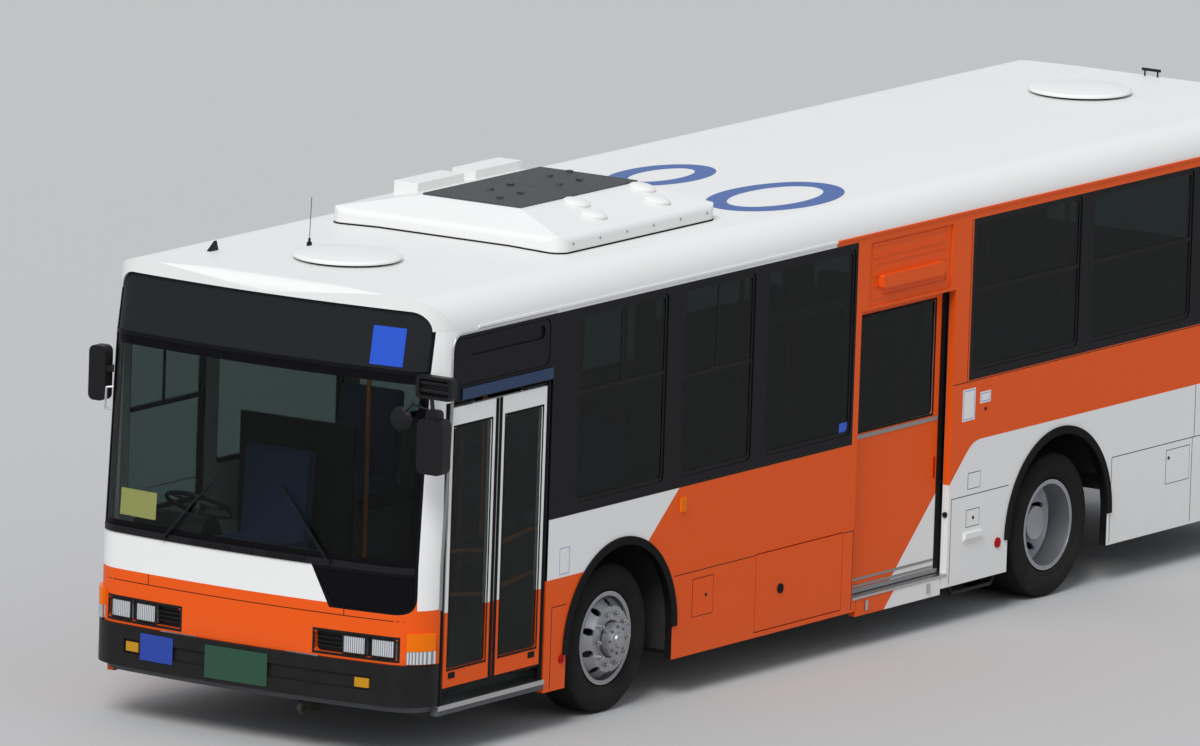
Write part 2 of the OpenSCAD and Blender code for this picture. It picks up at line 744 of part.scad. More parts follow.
module air_conditioner_cover() color("white") {
    difference() {
        union() {
            intersection() {
                translate([pod_x0, -pod_half_w, roof_z - 30]) linear_extrude(pod_h + 40)
                    round_rect(pod_x1 - pod_x0, 2 * pod_half_w, 110);
                translate([0, pod_half_w, 0]) rotate([90, 0, 0]) linear_extrude(2 * pod_half_w)
                    pod_outline(pod_x0, grille_x0, grille_x1, pod_x1);
                translate([pod_x0, 0, 0]) rotate([90, 0, 90]) linear_extrude(pod_x1 - pod_x0)
                    pod_outline(-pod_half_w, -grille_half_w, grille_half_w, pod_half_w);
            }
            // Raised blocks on the far side and round caps on the door side
            for (x = [front_axle_x - 815, front_axle_x - 1490])
                block([x, -740, roof_z + 60], [x + 540, -560, roof_z + pod_h + 20]);
            for (x = [-540, -1310]) vent_cap(front_axle_x + x, 472, roof_z + 172);
            for (x = [-415, -1160]) vent_cap(front_axle_x + x, 680, roof_z + 136);
        }
        // Seat on the roof's crown
        translate([pod_x0 - EPS, 0, 0]) rotate([90, 0, 90]) linear_extrude(pod_x1 - pod_x0 + 2 * EPS)
            translate([0, seat_gap]) polygon([[-cove_y, roof_z - 200], [-cove_y, roof_z - crown_drop],
                [-crown_flat, roof_z], [crown_flat, roof_z], [cove_y, roof_z - crown_drop],
                [cove_y, roof_z - 200]]);
    }
}

// Two mesh panels with their fixing blocks
module air_conditioner_grille() color("black") {
    grille_z = roof_z + pod_h;
    mid = (grille_x0 + grille_x1) / 2;
    for (x = [[grille_x0, mid - 6], [mid + 6, grille_x1]]) {
        block([x[0], -grille_half_w, grille_z], [x[1], grille_half_w, grille_z + 12]);
        for (k = [0.25, 0.6], y = [-110, 110]) translate([x[0] + (x[1] - x[0]) * k + y, y, grille_z + 11])
            translate([-17, -17, 0]) cube([34, 34, 16]);
    }
}

// Domed ventilators with a recessed base
vent_r = 345;
module roof_ventilators() color("white") {
    for (x = [front_axle_x + 1370, front_axle_x - 7440])
        translate([x, 0, roof_z]) rotate_extrude($fn = 72)
            polygon([[0, 0], [vent_r - 45, 0], [vent_r - 45, 16], [vent_r, 16], [vent_r, 26],
                [vent_r - 15, 38], [vent_r * 0.7, 50], [vent_r * 0.35, 57], [0, 59]]);
}

fog_y = 865;
module headlamps() color("silver") {
    for (s = [-1, 1], y = [785, 985]) intersection() {
        front_band(6, 40, lamp_z0 + 8, lamp_z1 - 8);
        block([corner_x - 100, s * y - 80, lamp_z0], [front_x + 50, s * y + 80, lamp_z1]);
    }
    // Fog lamps in the ends of the bumper's slot
    for (s = [-1, 1]) intersection() {
        translate([0, 0, 470]) linear_extrude(60) difference() {
            translate([bumper_reach - 3, 0]) front_plan(0, corner_x);
            translate([bumper_reach - slot_depth, 0]) front_plan(0, corner_x - 40);
        }
        block([corner_x, s * fog_y - 50, 400], [front_x + 100, s * fog_y + 50, 600]);
    }
    // Clear part of the corner lamps
    for (s = [0, 1]) mirror([0, s, 0]) corner_lamp(640, 720);
}

// Corner lamp between z0 and z1 on the door side's front corner
corner_lamp_t = 24;
module corner_lamp(z0, z1) {
    translate([corner_x, corner_y, z0]) linear_extrude(z1 - z0) intersection() {
        difference() {
            circle(front_corner_r + corner_lamp_t);
            circle(front_corner_r);
        }
        polygon([[0, 0], [FAR * cos(34), FAR * sin(34)], [FAR * cos(76), FAR * sin(76)]]);
    }
}

module amber_lamps() color("orange") {
    for (s = [0, 1]) mirror([0, s, 0]) corner_lamp(722, 832);
    // Side indicator ahead of the middle door and behind the right battery lid
    for (s = [0, 1]) mirror([0, s, 0]) translate([front_axle_x - 730, half_w, 1210])
        cube([60, 14, 95]);
}

module tail_lamps() color("red") {
    for (s = [-1, 1])
        block([rear_x - 12, s * tail_lamp_y - 60, 700], [rear_x + 20, s * tail_lamp_y + 60, 1150]);
}

// Mirror housing with round corners seen from ahead, its lower corner at the given point
module housing(at, t, w, h, r) {
    translate(at) rotate([90, 0, 90]) linear_extrude(t) round_rect(w, h, r);
}

// Straight tube between two points
module tube_between(a, b, r) {
    d = b - a;
    translate(a) rotate([0, acos(d[2] / norm(d)), atan2(d[1], d[0])]) cylinder(r = r, h = norm(d));
}

// Foot of a mirror arm, square to the door side's corner post at angle a, standing out by reach
module mirror_foot(a, z, h, reach) {
    translate([corner_x - (z - screen_z) * tan(screen_lean), corner_y, z]) rotate([0, 0, a])
        translate([front_corner_r + seat_gap, -25, 0]) cube([reach, 50, h]);
}

bracket_x = front_x - 60;
bracket_y = half_w - 15;
module mirrors() color("black") {
    // Door side: a foot on the corner post, a bracket with two bars, and the large mirror
    mirror_foot(58, 2400, 34, 70);
    block([corner_x + 80, half_w - 15, 2395], [bracket_x + 10, half_w + 10, 2440]);
    difference() {
        housing([bracket_x, bracket_y - 20, 2355], 60, 270, 145, 30);
        housing([bracket_x + 30, bracket_y + 5, 2375], 31, 220, 105, 20);
    }
    for (z = [2402, 2453]) translate([bracket_x + 34, bracket_y - 5, z]) rotate([-90, 0, 0])
        cylinder(r = 17, h = 240);
    tube_between([bracket_x + 40, bracket_y + 90, 2365], [front_x, half_w + 100, 2265], 13);
    housing([front_x - 40, half_w + 20, 1890], 95, 195, 350, 45);
    housing([front_x - 25, half_w + 70, 2200], 65, 95, 95, 30);
    // Thin arm to the round mirror
    tube_between([front_x, half_w + 80, 2285], [front_x + 50, half_w - 20, 2320], 7);
    translate([front_x + 50, half_w - 20, 2320]) sphere(10);
    tube_between([front_x + 50, half_w - 20, 2320], [front_x + 60, half_w - 95, 2235], 7);
    translate([front_x + 30, half_w - 105, 2215]) rotate([0, 90, 0])
        rotate_extrude() polygon([[0, 0], [75, 4], [80, 16], [60, 34], [0, 44]]);
    // Driver's mirror close to the body, on its own arm
    mirror([0, 1, 0]) mirror_foot(68, 2180, 40, 75);
    housing([corner_x + 8, -half_w - 145, 1990], 85, 125, 350, 40);
}

// Point on the windscreen at y and z, off it by out
function on_screen(y, z, out) = [bow_at(y) - (z - screen_z) * tan(screen_lean) + out, y, z];

// Flat bar between two points of the windscreen, off it by out
module wiper_bar(a, b, w, t, out) {
    from = on_screen(a[0], a[1], out);
    d = on_screen(b[0], b[1], out) - from;
    translate(from) rotate([0, acos(d[2] / norm(d)), atan2(d[1], d[0])])
        translate([-w / 2, -w / 2, 0]) cube([w, t, norm(d)]);
}

// Pivot and tip of each wiper as y and z
wiper_pivots = [[-640, 1232], [600, 1232]];
wiper_tips = [[-255, 1680], [225, 1665]];
cowl_z = 1206;
module wipers() color("black") {
    // Cowl strip under the windscreen with its two slotted vents
    intersection() {
        front_band(-8, 7, cowl_z, screen_z);
        block([corner_x, -screen_half_w, cowl_z], [front_x + 100, screen_half_w, screen_z]);
    }
    for (y = [-280, 287], z = [cowl_z + 6, cowl_z + 18, cowl_z + 30])
        translate([bow_x, 0, z]) rotate([0, 0, asin(y / front_bow_r)])
            translate([front_bow_r + 2, -145, 0]) cube([11, 290, 7]);
    for (k = [0, 1]) {
        p = wiper_pivots[k];
        tip = wiper_tips[k];
        translate([bow_at(p[0]) + 4, p[0], p[1]]) rotate([0, 90, 0]) cylinder(r = 15, h = 24);
        wiper_bar(p, p + (tip - p) * 0.62, 12, 9, 21);
        wiper_bar(p + (tip - p) * 0.2, tip, 10, 10, 12);
    }
}

module wheel_arch_trims() color("black") {
    for (s = [0, 1], x = [front_axle_x, rear_axle_x]) mirror([0, s, 0])
        intersection() {
            translate([x, half_w + 14, axle_z]) rotate([90, 0, 0]) difference() {
                cylinder(r = arch_r + 45, h = 14, $fn = 96);
                translate([0, 0, -EPS]) cylinder(r = arch_r - 8, h = 20, $fn = 96);
            }
            block([x - 900, half_w, axle_z], [x + 900, half_w + 20, 2000]);
        }
}

rail_r = 16;
pole_y = 440;
// Upright from the floor to the ceiling, x ahead of the front axle
module pole(x, y, z) {
    fall = max(0, abs(y) + rail_r - crown_flat) / (cove_y - crown_flat) * crown_drop;
    translate([front_axle_x + x, y, z]) cylinder(r = rail_r, h = ceiling_z - fall - z);
}

module grab_rails() color("chocolate") {
    for (s = [-1, 1], x = [400, -700, -1700, -2600])
        pole(x, s * pole_y, low_floor_z);
    for (s = [-1, 1], x = [-4600, -5600, -6600])
        pole(x, s * pole_y, high_floor_z);
}

// Seat facing forward: cushion, back and pedestal, standing at z with its cushion leg high
module seat(x, y, z, w, leg) {
    translate([x, y + w / 2, z]) rotate([90, 0, 0]) {
        translate([0, 0, w * 0.3]) linear_extrude(w * 0.4)
            polygon([[-150, 0], [60, 0], [110, leg - seat_gap], [-150, leg - seat_gap]]);
        linear_extrude(w) polygon([[-195, leg], [205, leg + 15],
            each arc_pts([200, leg + 55], 40, -80, 80, 3), [-195, leg + 75]]);
        linear_extrude(w) polygon([[-265, leg + 20], [-196, leg], [-200, leg + 80],
            each arc_pts([-280, leg + 600], 38, 0, 180, 5)]);
    }
}

seat_w = 440;
side_seat_y = inner_w - 335;
module passenger_seats() color("midnightblue") {
    for (s = [-1, 1]) {
        seat(front_axle_x, s * side_seat_y, house_z, seat_w, 60);
        for (x = [300, -420]) seat(rear_axle_x + x, s * side_seat_y, house_z, seat_w, 60);
        seat(rear_axle_x - 1000, s * side_seat_y, high_floor_z, seat_w, 330);
    }
    for (x = [-1150, -1950, -2750]) seat(front_axle_x + x, -inner_w + 295, low_floor_z, seat_w, 330);
    seat(rear_x + 400, 0, engine_deck_z, 2 * inner_w - 290, 60);
}

driver_y = -800;
platform_top = low_floor_z + platform_h;
module driver_seat() color("dimgray") {
    seat(front_axle_x + 1120, driver_y, platform_top, 480, 330);
}

// Instrument panel with its hood, the driver's partition, the steering wheel and its column
wheel_x = front_axle_x + 1760;
wheel_z = 1330;
module dashboard() color("black") {
    translate([0, 330, 0]) rotate([90, 0, 0]) linear_extrude(1460)
        polygon([[front_axle_x + 1990, 900], [front_axle_x + 2200, 960], [front_axle_x + 2210, 1190],
            [front_axle_x + 1960, 1200], [front_axle_x + 1890, 1120]]);
    block([front_axle_x + 1995, -1130, low_floor_z], [front_axle_x + 2045, 330, 915]);
    translate([0, driver_y + 260, 0]) rotate([90, 0, 0]) linear_extrude(520)
        polygon([[front_axle_x + 1880, 1195], [front_axle_x + 2130, 1199],
            each arc_pts([front_axle_x + 2010, 1210], 110, 10, 150, 5)]);
    // Column and wheel lean back towards the driver
    translate([wheel_x, driver_y, wheel_z]) rotate([0, -28, 0]) {
        rotate_extrude($fn = 64) translate([215, 0]) circle(15, $fn = 16);
        translate([0, 0, -30]) cylinder(r = 45, h = 34);
        for (a = [90, 210, 330]) rotate([0, 0, a]) block([0, -14, -12], [212, 14, 0]);
        translate([0, 0, -420]) cylinder(r = 38, h = 395);
    }
    // Partition behind the driver
    block([front_axle_x + 700, -inner_w, platform_top], [front_axle_x + 725, -330, 1750]);
}

// Steering knuckle on the door side: ears round the axle eye, kingpin line at Z, spindle outwards
knuckle_h = 210;
eye_h = 110;
spindle_tip_y = front_track / 2 + 165;
module knuckle() {
    difference() {
        union() {
            for (z = [-knuckle_h / 2, knuckle_h / 2 - 44])
                translate([0, kingpin_y, z]) cylinder(r = 50, h = 44);
            block([-45, kingpin_y + 55, -knuckle_h / 2], [45, kingpin_y + 85, knuckle_h / 2]);
            for (z = [-knuckle_h / 2, knuckle_h / 2 - 44])
                block([-45, kingpin_y, z], [45, kingpin_y + 60, z + 44]);
            translate([0, kingpin_y + 85, 0]) rotate([-90, 0, 0])
                cylinder(r = spindle_r, h = spindle_tip_y - kingpin_y - 85);
        }
        translate([0, kingpin_y, -knuckle_h]) cylinder(r = kingpin_r + 0.5, h = 2 * knuckle_h);
    }
}

module left_knuckle() color("gray") translate([front_axle_x, 0, axle_z]) knuckle();
module right_knuckle() color("gray") translate([front_axle_x, 0, axle_z]) mirror([0, 1, 0]) knuckle();

beam_z0 = 165;
beam_z1 = 250;
module front_axle() color("gray") {
    translate([front_axle_x, 0, 0]) {
        // Dropped beam under the low floor, its rising ends inside the wheelhouses
        block([-50, -680, beam_z0], [50, 680, beam_z1]);
        for (s = [0, 1]) mirror([0, s, 0]) {
            block([-50, 570, beam_z0], [50, 680, axle_z + 45]);
            block([-45, 600, axle_z - 45], [45, kingpin_y - 40, axle_z + 45]);
            translate([0, front_spring_y, axle_z]) cylinder(r = 70, h = front_spring_z0 - axle_z);
            translate([0, kingpin_y, axle_z]) {
                translate([0, 0, -eye_h / 2]) cylinder(r = 48, h = eye_h);
                translate([0, 0, -knuckle_h / 2 - 5]) cylinder(r = kingpin_r, h = knuckle_h + 10);
            }
        }
    }
}

diff_r = 190;
rear_tube_y = rear_track / 2 - twin_pitch - 120;
rear_spindle_y = rear_track / 2 - 20;
module rear_axle() color("gray") {
    translate([rear_axle_x, 0, axle_z]) {
        rotate([90, 0, 0]) cylinder(r = 60, h = 2 * rear_tube_y, center = true);
        rotate([90, 0, 0]) cylinder(r = spindle_r, h = 2 * rear_spindle_y, center = true);
        sphere(diff_r);
        for (s = [-1, 1]) {
            // Beam that carries the two air springs
            block([-450, s * spring_y - 50, spring_z0 - 45 - axle_z],
                [450, s * spring_y + 50, spring_z0 - axle_z]);
            block([-60, s * spring_y - 50, spring_z0 - 45 - axle_z], [60, s * spring_y + 50, 0]);
        }
        translate([-diff_r + 20, 0, 0]) rotate([0, -90, 0])
            cylinder(r = 45, h = rear_axle_x - diff_r + 20 - engine_x1);
    }
}

spring_y = 390;
spring_z0 = 335;
front_spring_y = 650;
front_spring_z0 = 600;
module air_springs() color("black") {
    for (s = [-1, 1]) {
        for (x = [-330, 330])
            translate([rear_axle_x + x, s * spring_y, spring_z0])
                cylinder(r = 110, h = high_floor_z - floor_t - rail_h - spring_z0);
        translate([front_axle_x, s * front_spring_y, front_spring_z0])
            cylinder(r = 95, h = house_z - house_t - front_spring_z0);
    }
}

// Fuel tank behind the rear arch, hung under a cross beam
tank_r = 160;
tank_x = rear_axle_x - 750;
module underfloor_tanks() color("dimgray") {
    translate([tank_x, -650, high_floor_z - floor_t - beam_h - tank_r - seat_gap])
        rotate([90, 0, 0]) cylinder(r = tank_r, h = inner_w - 650 - 20);
}

front_plate = [-280, 190, 390, 600];
permit_plate = [-795, -534, 430, 600];
rear_plate = [-235, 235, 380, 540];
module number_plates() color("green") {
    block([front_x + bumper_reach, front_plate[0], front_plate[2]],
        [front_x + bumper_reach + 4, front_plate[1], front_plate[3]]);
    // Permit plate, square to the bowed bumper at its middle
    mid_y = (permit_plate[0] + permit_plate[1]) / 2;
    translate([bow_at(mid_y) + bumper_reach + seat_gap, mid_y, 0])
        rotate([0, 0, asin(mid_y / front_bow_r)])
            block([0, permit_plate[0] - mid_y, permit_plate[2]],
                [3, permit_plate[1] - mid_y, permit_plate[3]]);
    block([rear_x - bumper_reach - 4, rear_plate[0], rear_plate[2]],
        [rear_x - bumper_reach, rear_plate[1], rear_plate[3]]);
}

// Middle door, closed in its doorway; it slides forward inside the wall
mid_leaf_y1 = inner_w - 20;
mid_leaf_z0 = low_floor_z + 35;
mid_leaf_z1 = mid_door_z1 + 40;
mid_glass_z0 = 1420;
mid_glass_z1 = 2170;
module middle_door() color("orangered") {
    x0 = front_axle_x + mid_door_x0 + 4;
    x1 = front_axle_x + mid_door_x1 + 40;
    difference() {
        block([x0, mid_leaf_y1 - leaf_t, mid_leaf_z0], [x1, mid_leaf_y1, mid_leaf_z1]);
        side_cut(x0 + 130, x1 - 130, mid_glass_z0, mid_glass_z1, 22,
            mid_leaf_y1 - leaf_t - EPS, mid_leaf_y1 + EPS);
    }
}

module middle_door_glass() color("darkslategray") {
    x0 = front_axle_x + mid_door_x0 + 4;
    x1 = front_axle_x + mid_door_x1 + 40;
    side_cut(x0 + 130, x1 - 130, mid_glass_z0, mid_glass_z1, 22, mid_leaf_y1 - 16, mid_leaf_y1 - 8);
}

// Front door: two leaves of equal width, each between a turning post and the middle seam. The
// post's arms run over and under the leaf to a pin at its middle, so that the leaf turns as much
// one way as the post turns the other, and comes to stand inwards behind its post
door_seam = 12;
post_r = 20;
post_gap = 8;
leaf_len = (front_door_x1 - front_door_x0 - door_seam) / 2 - 2 * (post_r + post_gap);
arm_len = leaf_len / 2 + post_r + post_gap;
arm_t = 16;
arm_h = 12;
arm_gap = 8;
arm_eye_r = 15;
pin_r = 8;
pin_play = 0.5;
leaf_z0 = front_door_z0 + 96;
leaf_z1 = front_door_z1 - 34;
leaf_y1 = half_w - 6;
leaf_border = 45;
seam_border = 75;
leaf_glass_z0 = 575;
leaf_glass_z1 = 2110;
post_y = leaf_y1 - leaf_t / 2;
arm_levels = [leaf_z0 - arm_gap - arm_h, leaf_z1 + arm_gap];
forward_post_x = front_axle_x + front_door_x1 - post_r - post_gap;
rearward_post_x = front_axle_x + front_door_x0 + post_r + post_gap;
post_head_z = front_door_z1 - 8;

// Two slanting hand rails on the inside of a leaf, each on two short feet
hand_r = 13;
hand_y = leaf_y1 - leaf_t - 42;
module hand_rails() {
    x0 = -arm_len - leaf_len / 2 + 22;
    x1 = -arm_len + leaf_len / 2 - 14;
    for (z = [980, 1260]) {
        tube_between([x0, hand_y, z], [x1, hand_y, z + 60], hand_r);
        for (t = [0.03, 0.97]) translate([x0 + (x1 - x0) * t, hand_y, z + 60 * t])
            rotate([-90, 0, 0]) cylinder(r = hand_r - 3, h = leaf_y1 - leaf_t - hand_y + EPS);
    }
}

// One leaf and its pins; dir points from the meeting edge to the post at x
module leaf(x, dir) {
    translate([x, 0, 0]) mirror([dir > 0 ? 0 : 1, 0, 0]) {
        hand_rails();
        difference() {
            block([-arm_len - leaf_len / 2, leaf_y1 - leaf_t, leaf_z0],
                [-arm_len + leaf_len / 2, leaf_y1, leaf_z1]);
            leaf_window(-EPS, leaf_t + EPS);
        }
        for (z = [leaf_z0 - arm_gap - arm_h, leaf_z1 - EPS]) translate([-arm_len, post_y, z])
            cylinder(r = pin_r, h = arm_gap + arm_h + EPS);
    }
}

// Window of a leaf, from a to b inwards from its outer face
module leaf_window(a, b) {
    side_cut(-arm_len - leaf_len / 2 + seam_border, -arm_len + leaf_len / 2 - leaf_border,
        leaf_glass_z0, leaf_glass_z1, 20, leaf_y1 - b, leaf_y1 - a);
}

module leaf_glass(x, dir) {
    translate([x, 0, 0]) mirror([dir > 0 ? 0 : 1, 0, 0]) leaf_window(6, 14);
}

module forward_leaf() color("white") leaf(forward_post_x, 1);
module forward_leaf_glass() color("darkslategray") leaf_glass(forward_post_x, 1);
module rearward_leaf() color("white") leaf(rearward_post_x, -1);
module rearward_leaf_glass() color("darkslategray") leaf_glass(rearward_post_x, -1);

// Post with its two arms pointing towards dir
module door_post(x, dir) {
    translate([x, post_y, 0]) {
        translate([0, 0, low_floor_z]) cylinder(r = post_r, h = post_head_z - low_floor_z);
        translate([0, 0, post_head_z - EPS]) cylinder(r = pin_r, h = 35);
        for (z = arm_levels) mirror([dir > 0 ? 0 : 1, 0, 0]) difference() {
            union() {
                block([0, -arm_t / 2, z], [arm_len, arm_t / 2, z + arm_h]);
                translate([arm_len, 0, z]) cylinder(r = arm_eye_r, h = arm_h);
            }
            translate([arm_len, 0, z - EPS]) cylinder(r = pin_r + pin_play, h = arm_h + 2 * EPS);
        }
    }
}

module forward_door_post() color("chocolate") door_post(forward_post_x, -1);
module rearward_door_post() color("chocolate") door_post(rearward_post_x, 1);

module emergency_door() color("orangered") {
    mirror([0, 1, 0]) difference() {
        block([front_axle_x + escape_x0, inner_w, escape_z0],
            [front_axle_x + escape_x1, half_w, escape_z1]);
        side_cut(front_axle_x + escape_x0 + 90, front_axle_x + escape_x1 - 90, rear_sill_z,
            escape_z1 - 80, 60, inner_w - EPS, half_w + EPS);
    }
}

module emergency_door_glass() color("darkslategray") {
    mirror([0, 1, 0])
        side_cut(front_axle_x + escape_x0 + 90, front_axle_x + escape_x1 - 90, rear_sill_z,
            escape_z1 - 80, 60, half_w - 20, half_w - 12);
}

louvre_pitch = 42;
module engine_lid() color("white") difference() {
    block([rear_x, -engine_lid_w / 2, engine_lid_z0], [rear_x + wall, engine_lid_w / 2, engine_lid_z1]);
    // Louvres right through the lid
    for (k = [0:7], s = [-1, 1])
        block([rear_x - EPS, s > 0 ? 40 : -640, 900 + k * louvre_pitch],
            [rear_x + wall + EPS, s > 0 ? 640 : -40, 918 + k * louvre_pitch]);
}

module left_service_lid() color("orangered") lid_cut(service_lid, inner_w, half_w, 0);
module right_battery_lid() color("orangered") mirror([0, 1, 0]) lid_cut(battery_lid, inner_w, half_w, 0);
module ramp_lid_panel() color("orangered") lid_cut(ramp_lid, inner_w, half_w, 0);

// Tyre of revolution about Y, its middle at y
bead_h = 100;
module tyre(y) {
    r = tyre_d / 2;
    h = tyre_w / 2;
    translate([0, y, 0]) rotate([-90, 0, 0]) rotate_extrude($fn = 64)
        polygon([[rim_r + seat_gap, -bead_h], [rim_r + 22, -bead_h], [rim_r + 60, -h + 8], [r - 110, -h],
            [r - 45, -h + 6], [r - 12, -h + 28], [r, -h + 60], [r, h - 60], [r - 12, h - 28],
            [r - 45, h - 6], [r - 110, h], [rim_r + 60, h - 8], [rim_r + 22, bead_h],
            [rim_r + seat_gap, bead_h],
            [rim_r + 30, 90], [r - 40, 100], [r - 40, -100], [rim_r + 30, -90]]);
}

// Rim of revolution about Y, its middle at y, its disc dished towards side dir
disc_off = twin_pitch / 2;
disc_t = 12;
bolt_r = 167.5;
hand_holes = 10;
module rim(y, dir, hub0, hub1) {
    w = bead_h + seat_gap;
    translate([0, y, 0]) rotate([dir > 0 ? -90 : 90, 0, 0]) difference() {
        union() {
            rotate_extrude($fn = 64) polygon([[rim_r - 14, -w - 12], [flange_r, -w - 12],
                [flange_r, -w], [rim_r, -w], [rim_r, w], [flange_r, w], [flange_r, w + 12],
                [rim_r - 14, w + 12], [rim_r - 14, 70], [bolt_r + 45, disc_off],
                [60, disc_off], [60, disc_off - disc_t], [bolt_r + 40, disc_off - disc_t],
                [rim_r - 14, 50]]);
            if (hub1 > hub0) translate([0, 0, hub0]) cylinder(r = hub_r, h = hub1 - hub0);
        }
        translate([0, 0, -300]) cylinder(r = spindle_r + 0.5, h = 280 + hub1);
        // Hand holes through the dished part of the disc
        for (k = [1:hand_holes]) rotate([0, 0, (k + 0.5) * 360 / hand_holes])
            translate([bolt_r + 62, 0, 0]) cylinder(r = 24, h = 300);
    }
}

module wheel_at(x, s) translate([x, 0, axle_z]) mirror([0, s < 0 ? 1 : 0, 0]) children();

module front_left_tyre() color("black") wheel_at(front_axle_x, 1) tyre(front_track / 2);
module front_right_tyre() color("black") wheel_at(front_axle_x, -1) tyre(front_track / 2);
module front_left_rim() color("silver") wheel_at(front_axle_x, 1)
    rim(front_track / 2, 1, 30, disc_off + 45);
module front_right_rim() color("silver") wheel_at(front_axle_x, -1)
    rim(front_track / 2, 1, 30, disc_off + 45);
module rear_left_tyres() color("black") wheel_at(rear_axle_x, 1)
    for (k = [0, 1]) tyre(rear_track / 2 - k * twin_pitch);
module rear_right_tyres() color("black") wheel_at(rear_axle_x, -1)
    for (k = [0, 1]) tyre(rear_track / 2 - k * twin_pitch);
module twin_rims() {
    rim(rear_track / 2, -1, 0, 0);
    rim(rear_track / 2 - twin_pitch, 1, disc_off - 60, disc_off + 170);
}
module rear_left_rims() color("silver") wheel_at(rear_axle_x, 1) twin_rims();
module rear_right_rims() color("silver") wheel_at(rear_axle_x, -1) twin_rims();

chassis_frame();
floor_deck();
left_side_wall();
right_side_wall();
roof_shell();
front_panel();
rear_panel();
front_bumper();
rear_bumper();
windscreen();
destination_glass();
side_glass();
window_frames();
rear_window();
air_conditioner_cover();
air_conditioner_grille();
roof_ventilators();
headlamps();
amber_lamps();
tail_lamps();
mirrors();
wipers();
wheel_arch_trims();
grab_rails();
passenger_seats();
driver_seat();
dashboard();
front_axle();
rear_axle();
air_springs();
engine();
underfloor_tanks();
number_plates();
middle_door();
middle_door_glass();
forward_leaf();
forward_leaf_glass();
rearward_leaf();
rearward_leaf_glass();
forward_door_post();
rearward_door_post();
emergency_door();
emergency_door_glass();
engine_lid();
left_service_lid();
right_battery_lid();
ramp_lid_panel();
left_knuckle();
right_knuckle();
front_left_tyre();
front_left_rim();
front_right_tyre();
front_right_rim();
rear_left_tyres();
rear_left_rims();
rear_right_tyres();
rear_right_rims();
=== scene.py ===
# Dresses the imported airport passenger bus: livery, glass, tyres, trim and the studio stage.
# Metres, in the model's own frame: +X forward, +Y the door side, +Z up, z = 0 on the ground.
import json
import math

import bmesh
import bpy
from mathutils import Matrix, Vector


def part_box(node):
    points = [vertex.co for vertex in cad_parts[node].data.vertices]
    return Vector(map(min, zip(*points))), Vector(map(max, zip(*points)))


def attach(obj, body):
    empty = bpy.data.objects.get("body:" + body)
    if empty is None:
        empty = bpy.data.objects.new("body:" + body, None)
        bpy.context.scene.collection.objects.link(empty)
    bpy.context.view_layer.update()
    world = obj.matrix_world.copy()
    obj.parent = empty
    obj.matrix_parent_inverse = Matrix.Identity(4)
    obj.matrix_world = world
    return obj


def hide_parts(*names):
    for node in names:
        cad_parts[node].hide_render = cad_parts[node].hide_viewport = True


bl_info = {
    "name": "Airport Passenger Bus",
    "version": (1, 0, 0),
    "blender": (4, 5, 0),
    "location": "View3D > Sidebar > Bus",
    "description": "Finishes and trim for a packed airport passenger bus",
    "category": "Object",
}

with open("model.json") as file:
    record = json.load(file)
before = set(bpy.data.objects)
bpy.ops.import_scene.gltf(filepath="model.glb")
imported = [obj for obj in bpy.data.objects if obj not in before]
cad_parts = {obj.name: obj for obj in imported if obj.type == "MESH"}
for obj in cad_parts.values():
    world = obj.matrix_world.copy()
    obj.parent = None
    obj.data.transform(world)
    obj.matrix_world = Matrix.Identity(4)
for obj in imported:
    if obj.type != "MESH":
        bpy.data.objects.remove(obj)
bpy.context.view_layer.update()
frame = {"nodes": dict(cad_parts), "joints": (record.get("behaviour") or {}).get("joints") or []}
JOINTS = {j["name"]: j for j in frame["joints"]}

# Places taken from the frame
FRONT_AXLE_X = JOINTS["left_steering"]["pos_m"][0]
REAR_AXLE_X = JOINTS["rear_left_wheels_spin"]["pos_m"][0]
AXLE_Z = JOINTS["rear_left_wheels_spin"]["pos_m"][2]
HALF_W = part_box("front_panel")[1][1]
ROOF_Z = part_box("roof_shell")[1][2]
FRONT_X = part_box("front_panel")[1][0]
REAR_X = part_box("rear_panel")[0][0]
# How far a painted line or joint stands off the skin
SKIN = 0.0006


class BusColours(bpy.types.PropertyGroup):
    """Colours of the bus's own paints and finishes"""
    orange: bpy.props.FloatVectorProperty(
        name="Orange", description="Main body colour", subtype="COLOR", size=3,
        default=(0.80, 0.100, 0.010), min=0, max=1)
    white: bpy.props.FloatVectorProperty(
        name="White", description="Roof and stripe colour", subtype="COLOR", size=3,
        default=(0.80, 0.80, 0.79), min=0, max=1)
    window_black: bpy.props.FloatVectorProperty(
        name="Window black", description="Paint between the windows", subtype="COLOR", size=3,
        default=(0.005, 0.005, 0.007), min=0, max=1)
    roof_blue: bpy.props.FloatVectorProperty(
        name="Roof blue", description="Rings painted on the roof", subtype="COLOR", size=3,
        default=(0.035, 0.105, 0.350), min=0, max=1)
    rail_orange: bpy.props.FloatVectorProperty(
        name="Rail orange", description="Hand rails inside", subtype="COLOR", size=3,
        default=(0.62, 0.16, 0.02), min=0, max=1)
    glass_tint: bpy.props.FloatVectorProperty(
        name="Glass tint", description="Tint of the side windows", subtype="COLOR", size=3,
        default=(0.085, 0.120, 0.115), min=0, max=1)
    lining: bpy.props.FloatVectorProperty(
        name="Lining", description="Panels inside the cabin", subtype="COLOR", size=3,
        default=(0.26, 0.27, 0.27), min=0, max=1)
    steel_blue: bpy.props.FloatVectorProperty(
        name="Steel blue", description="Drip rail over the front door", subtype="COLOR", size=3,
        default=(0.030, 0.055, 0.120), min=0, max=1)
    dust: bpy.props.FloatVectorProperty(
        name="Dust", description="Road dust low on the body", subtype="COLOR", size=3,
        default=(0.20, 0.18, 0.15), min=0, max=1)


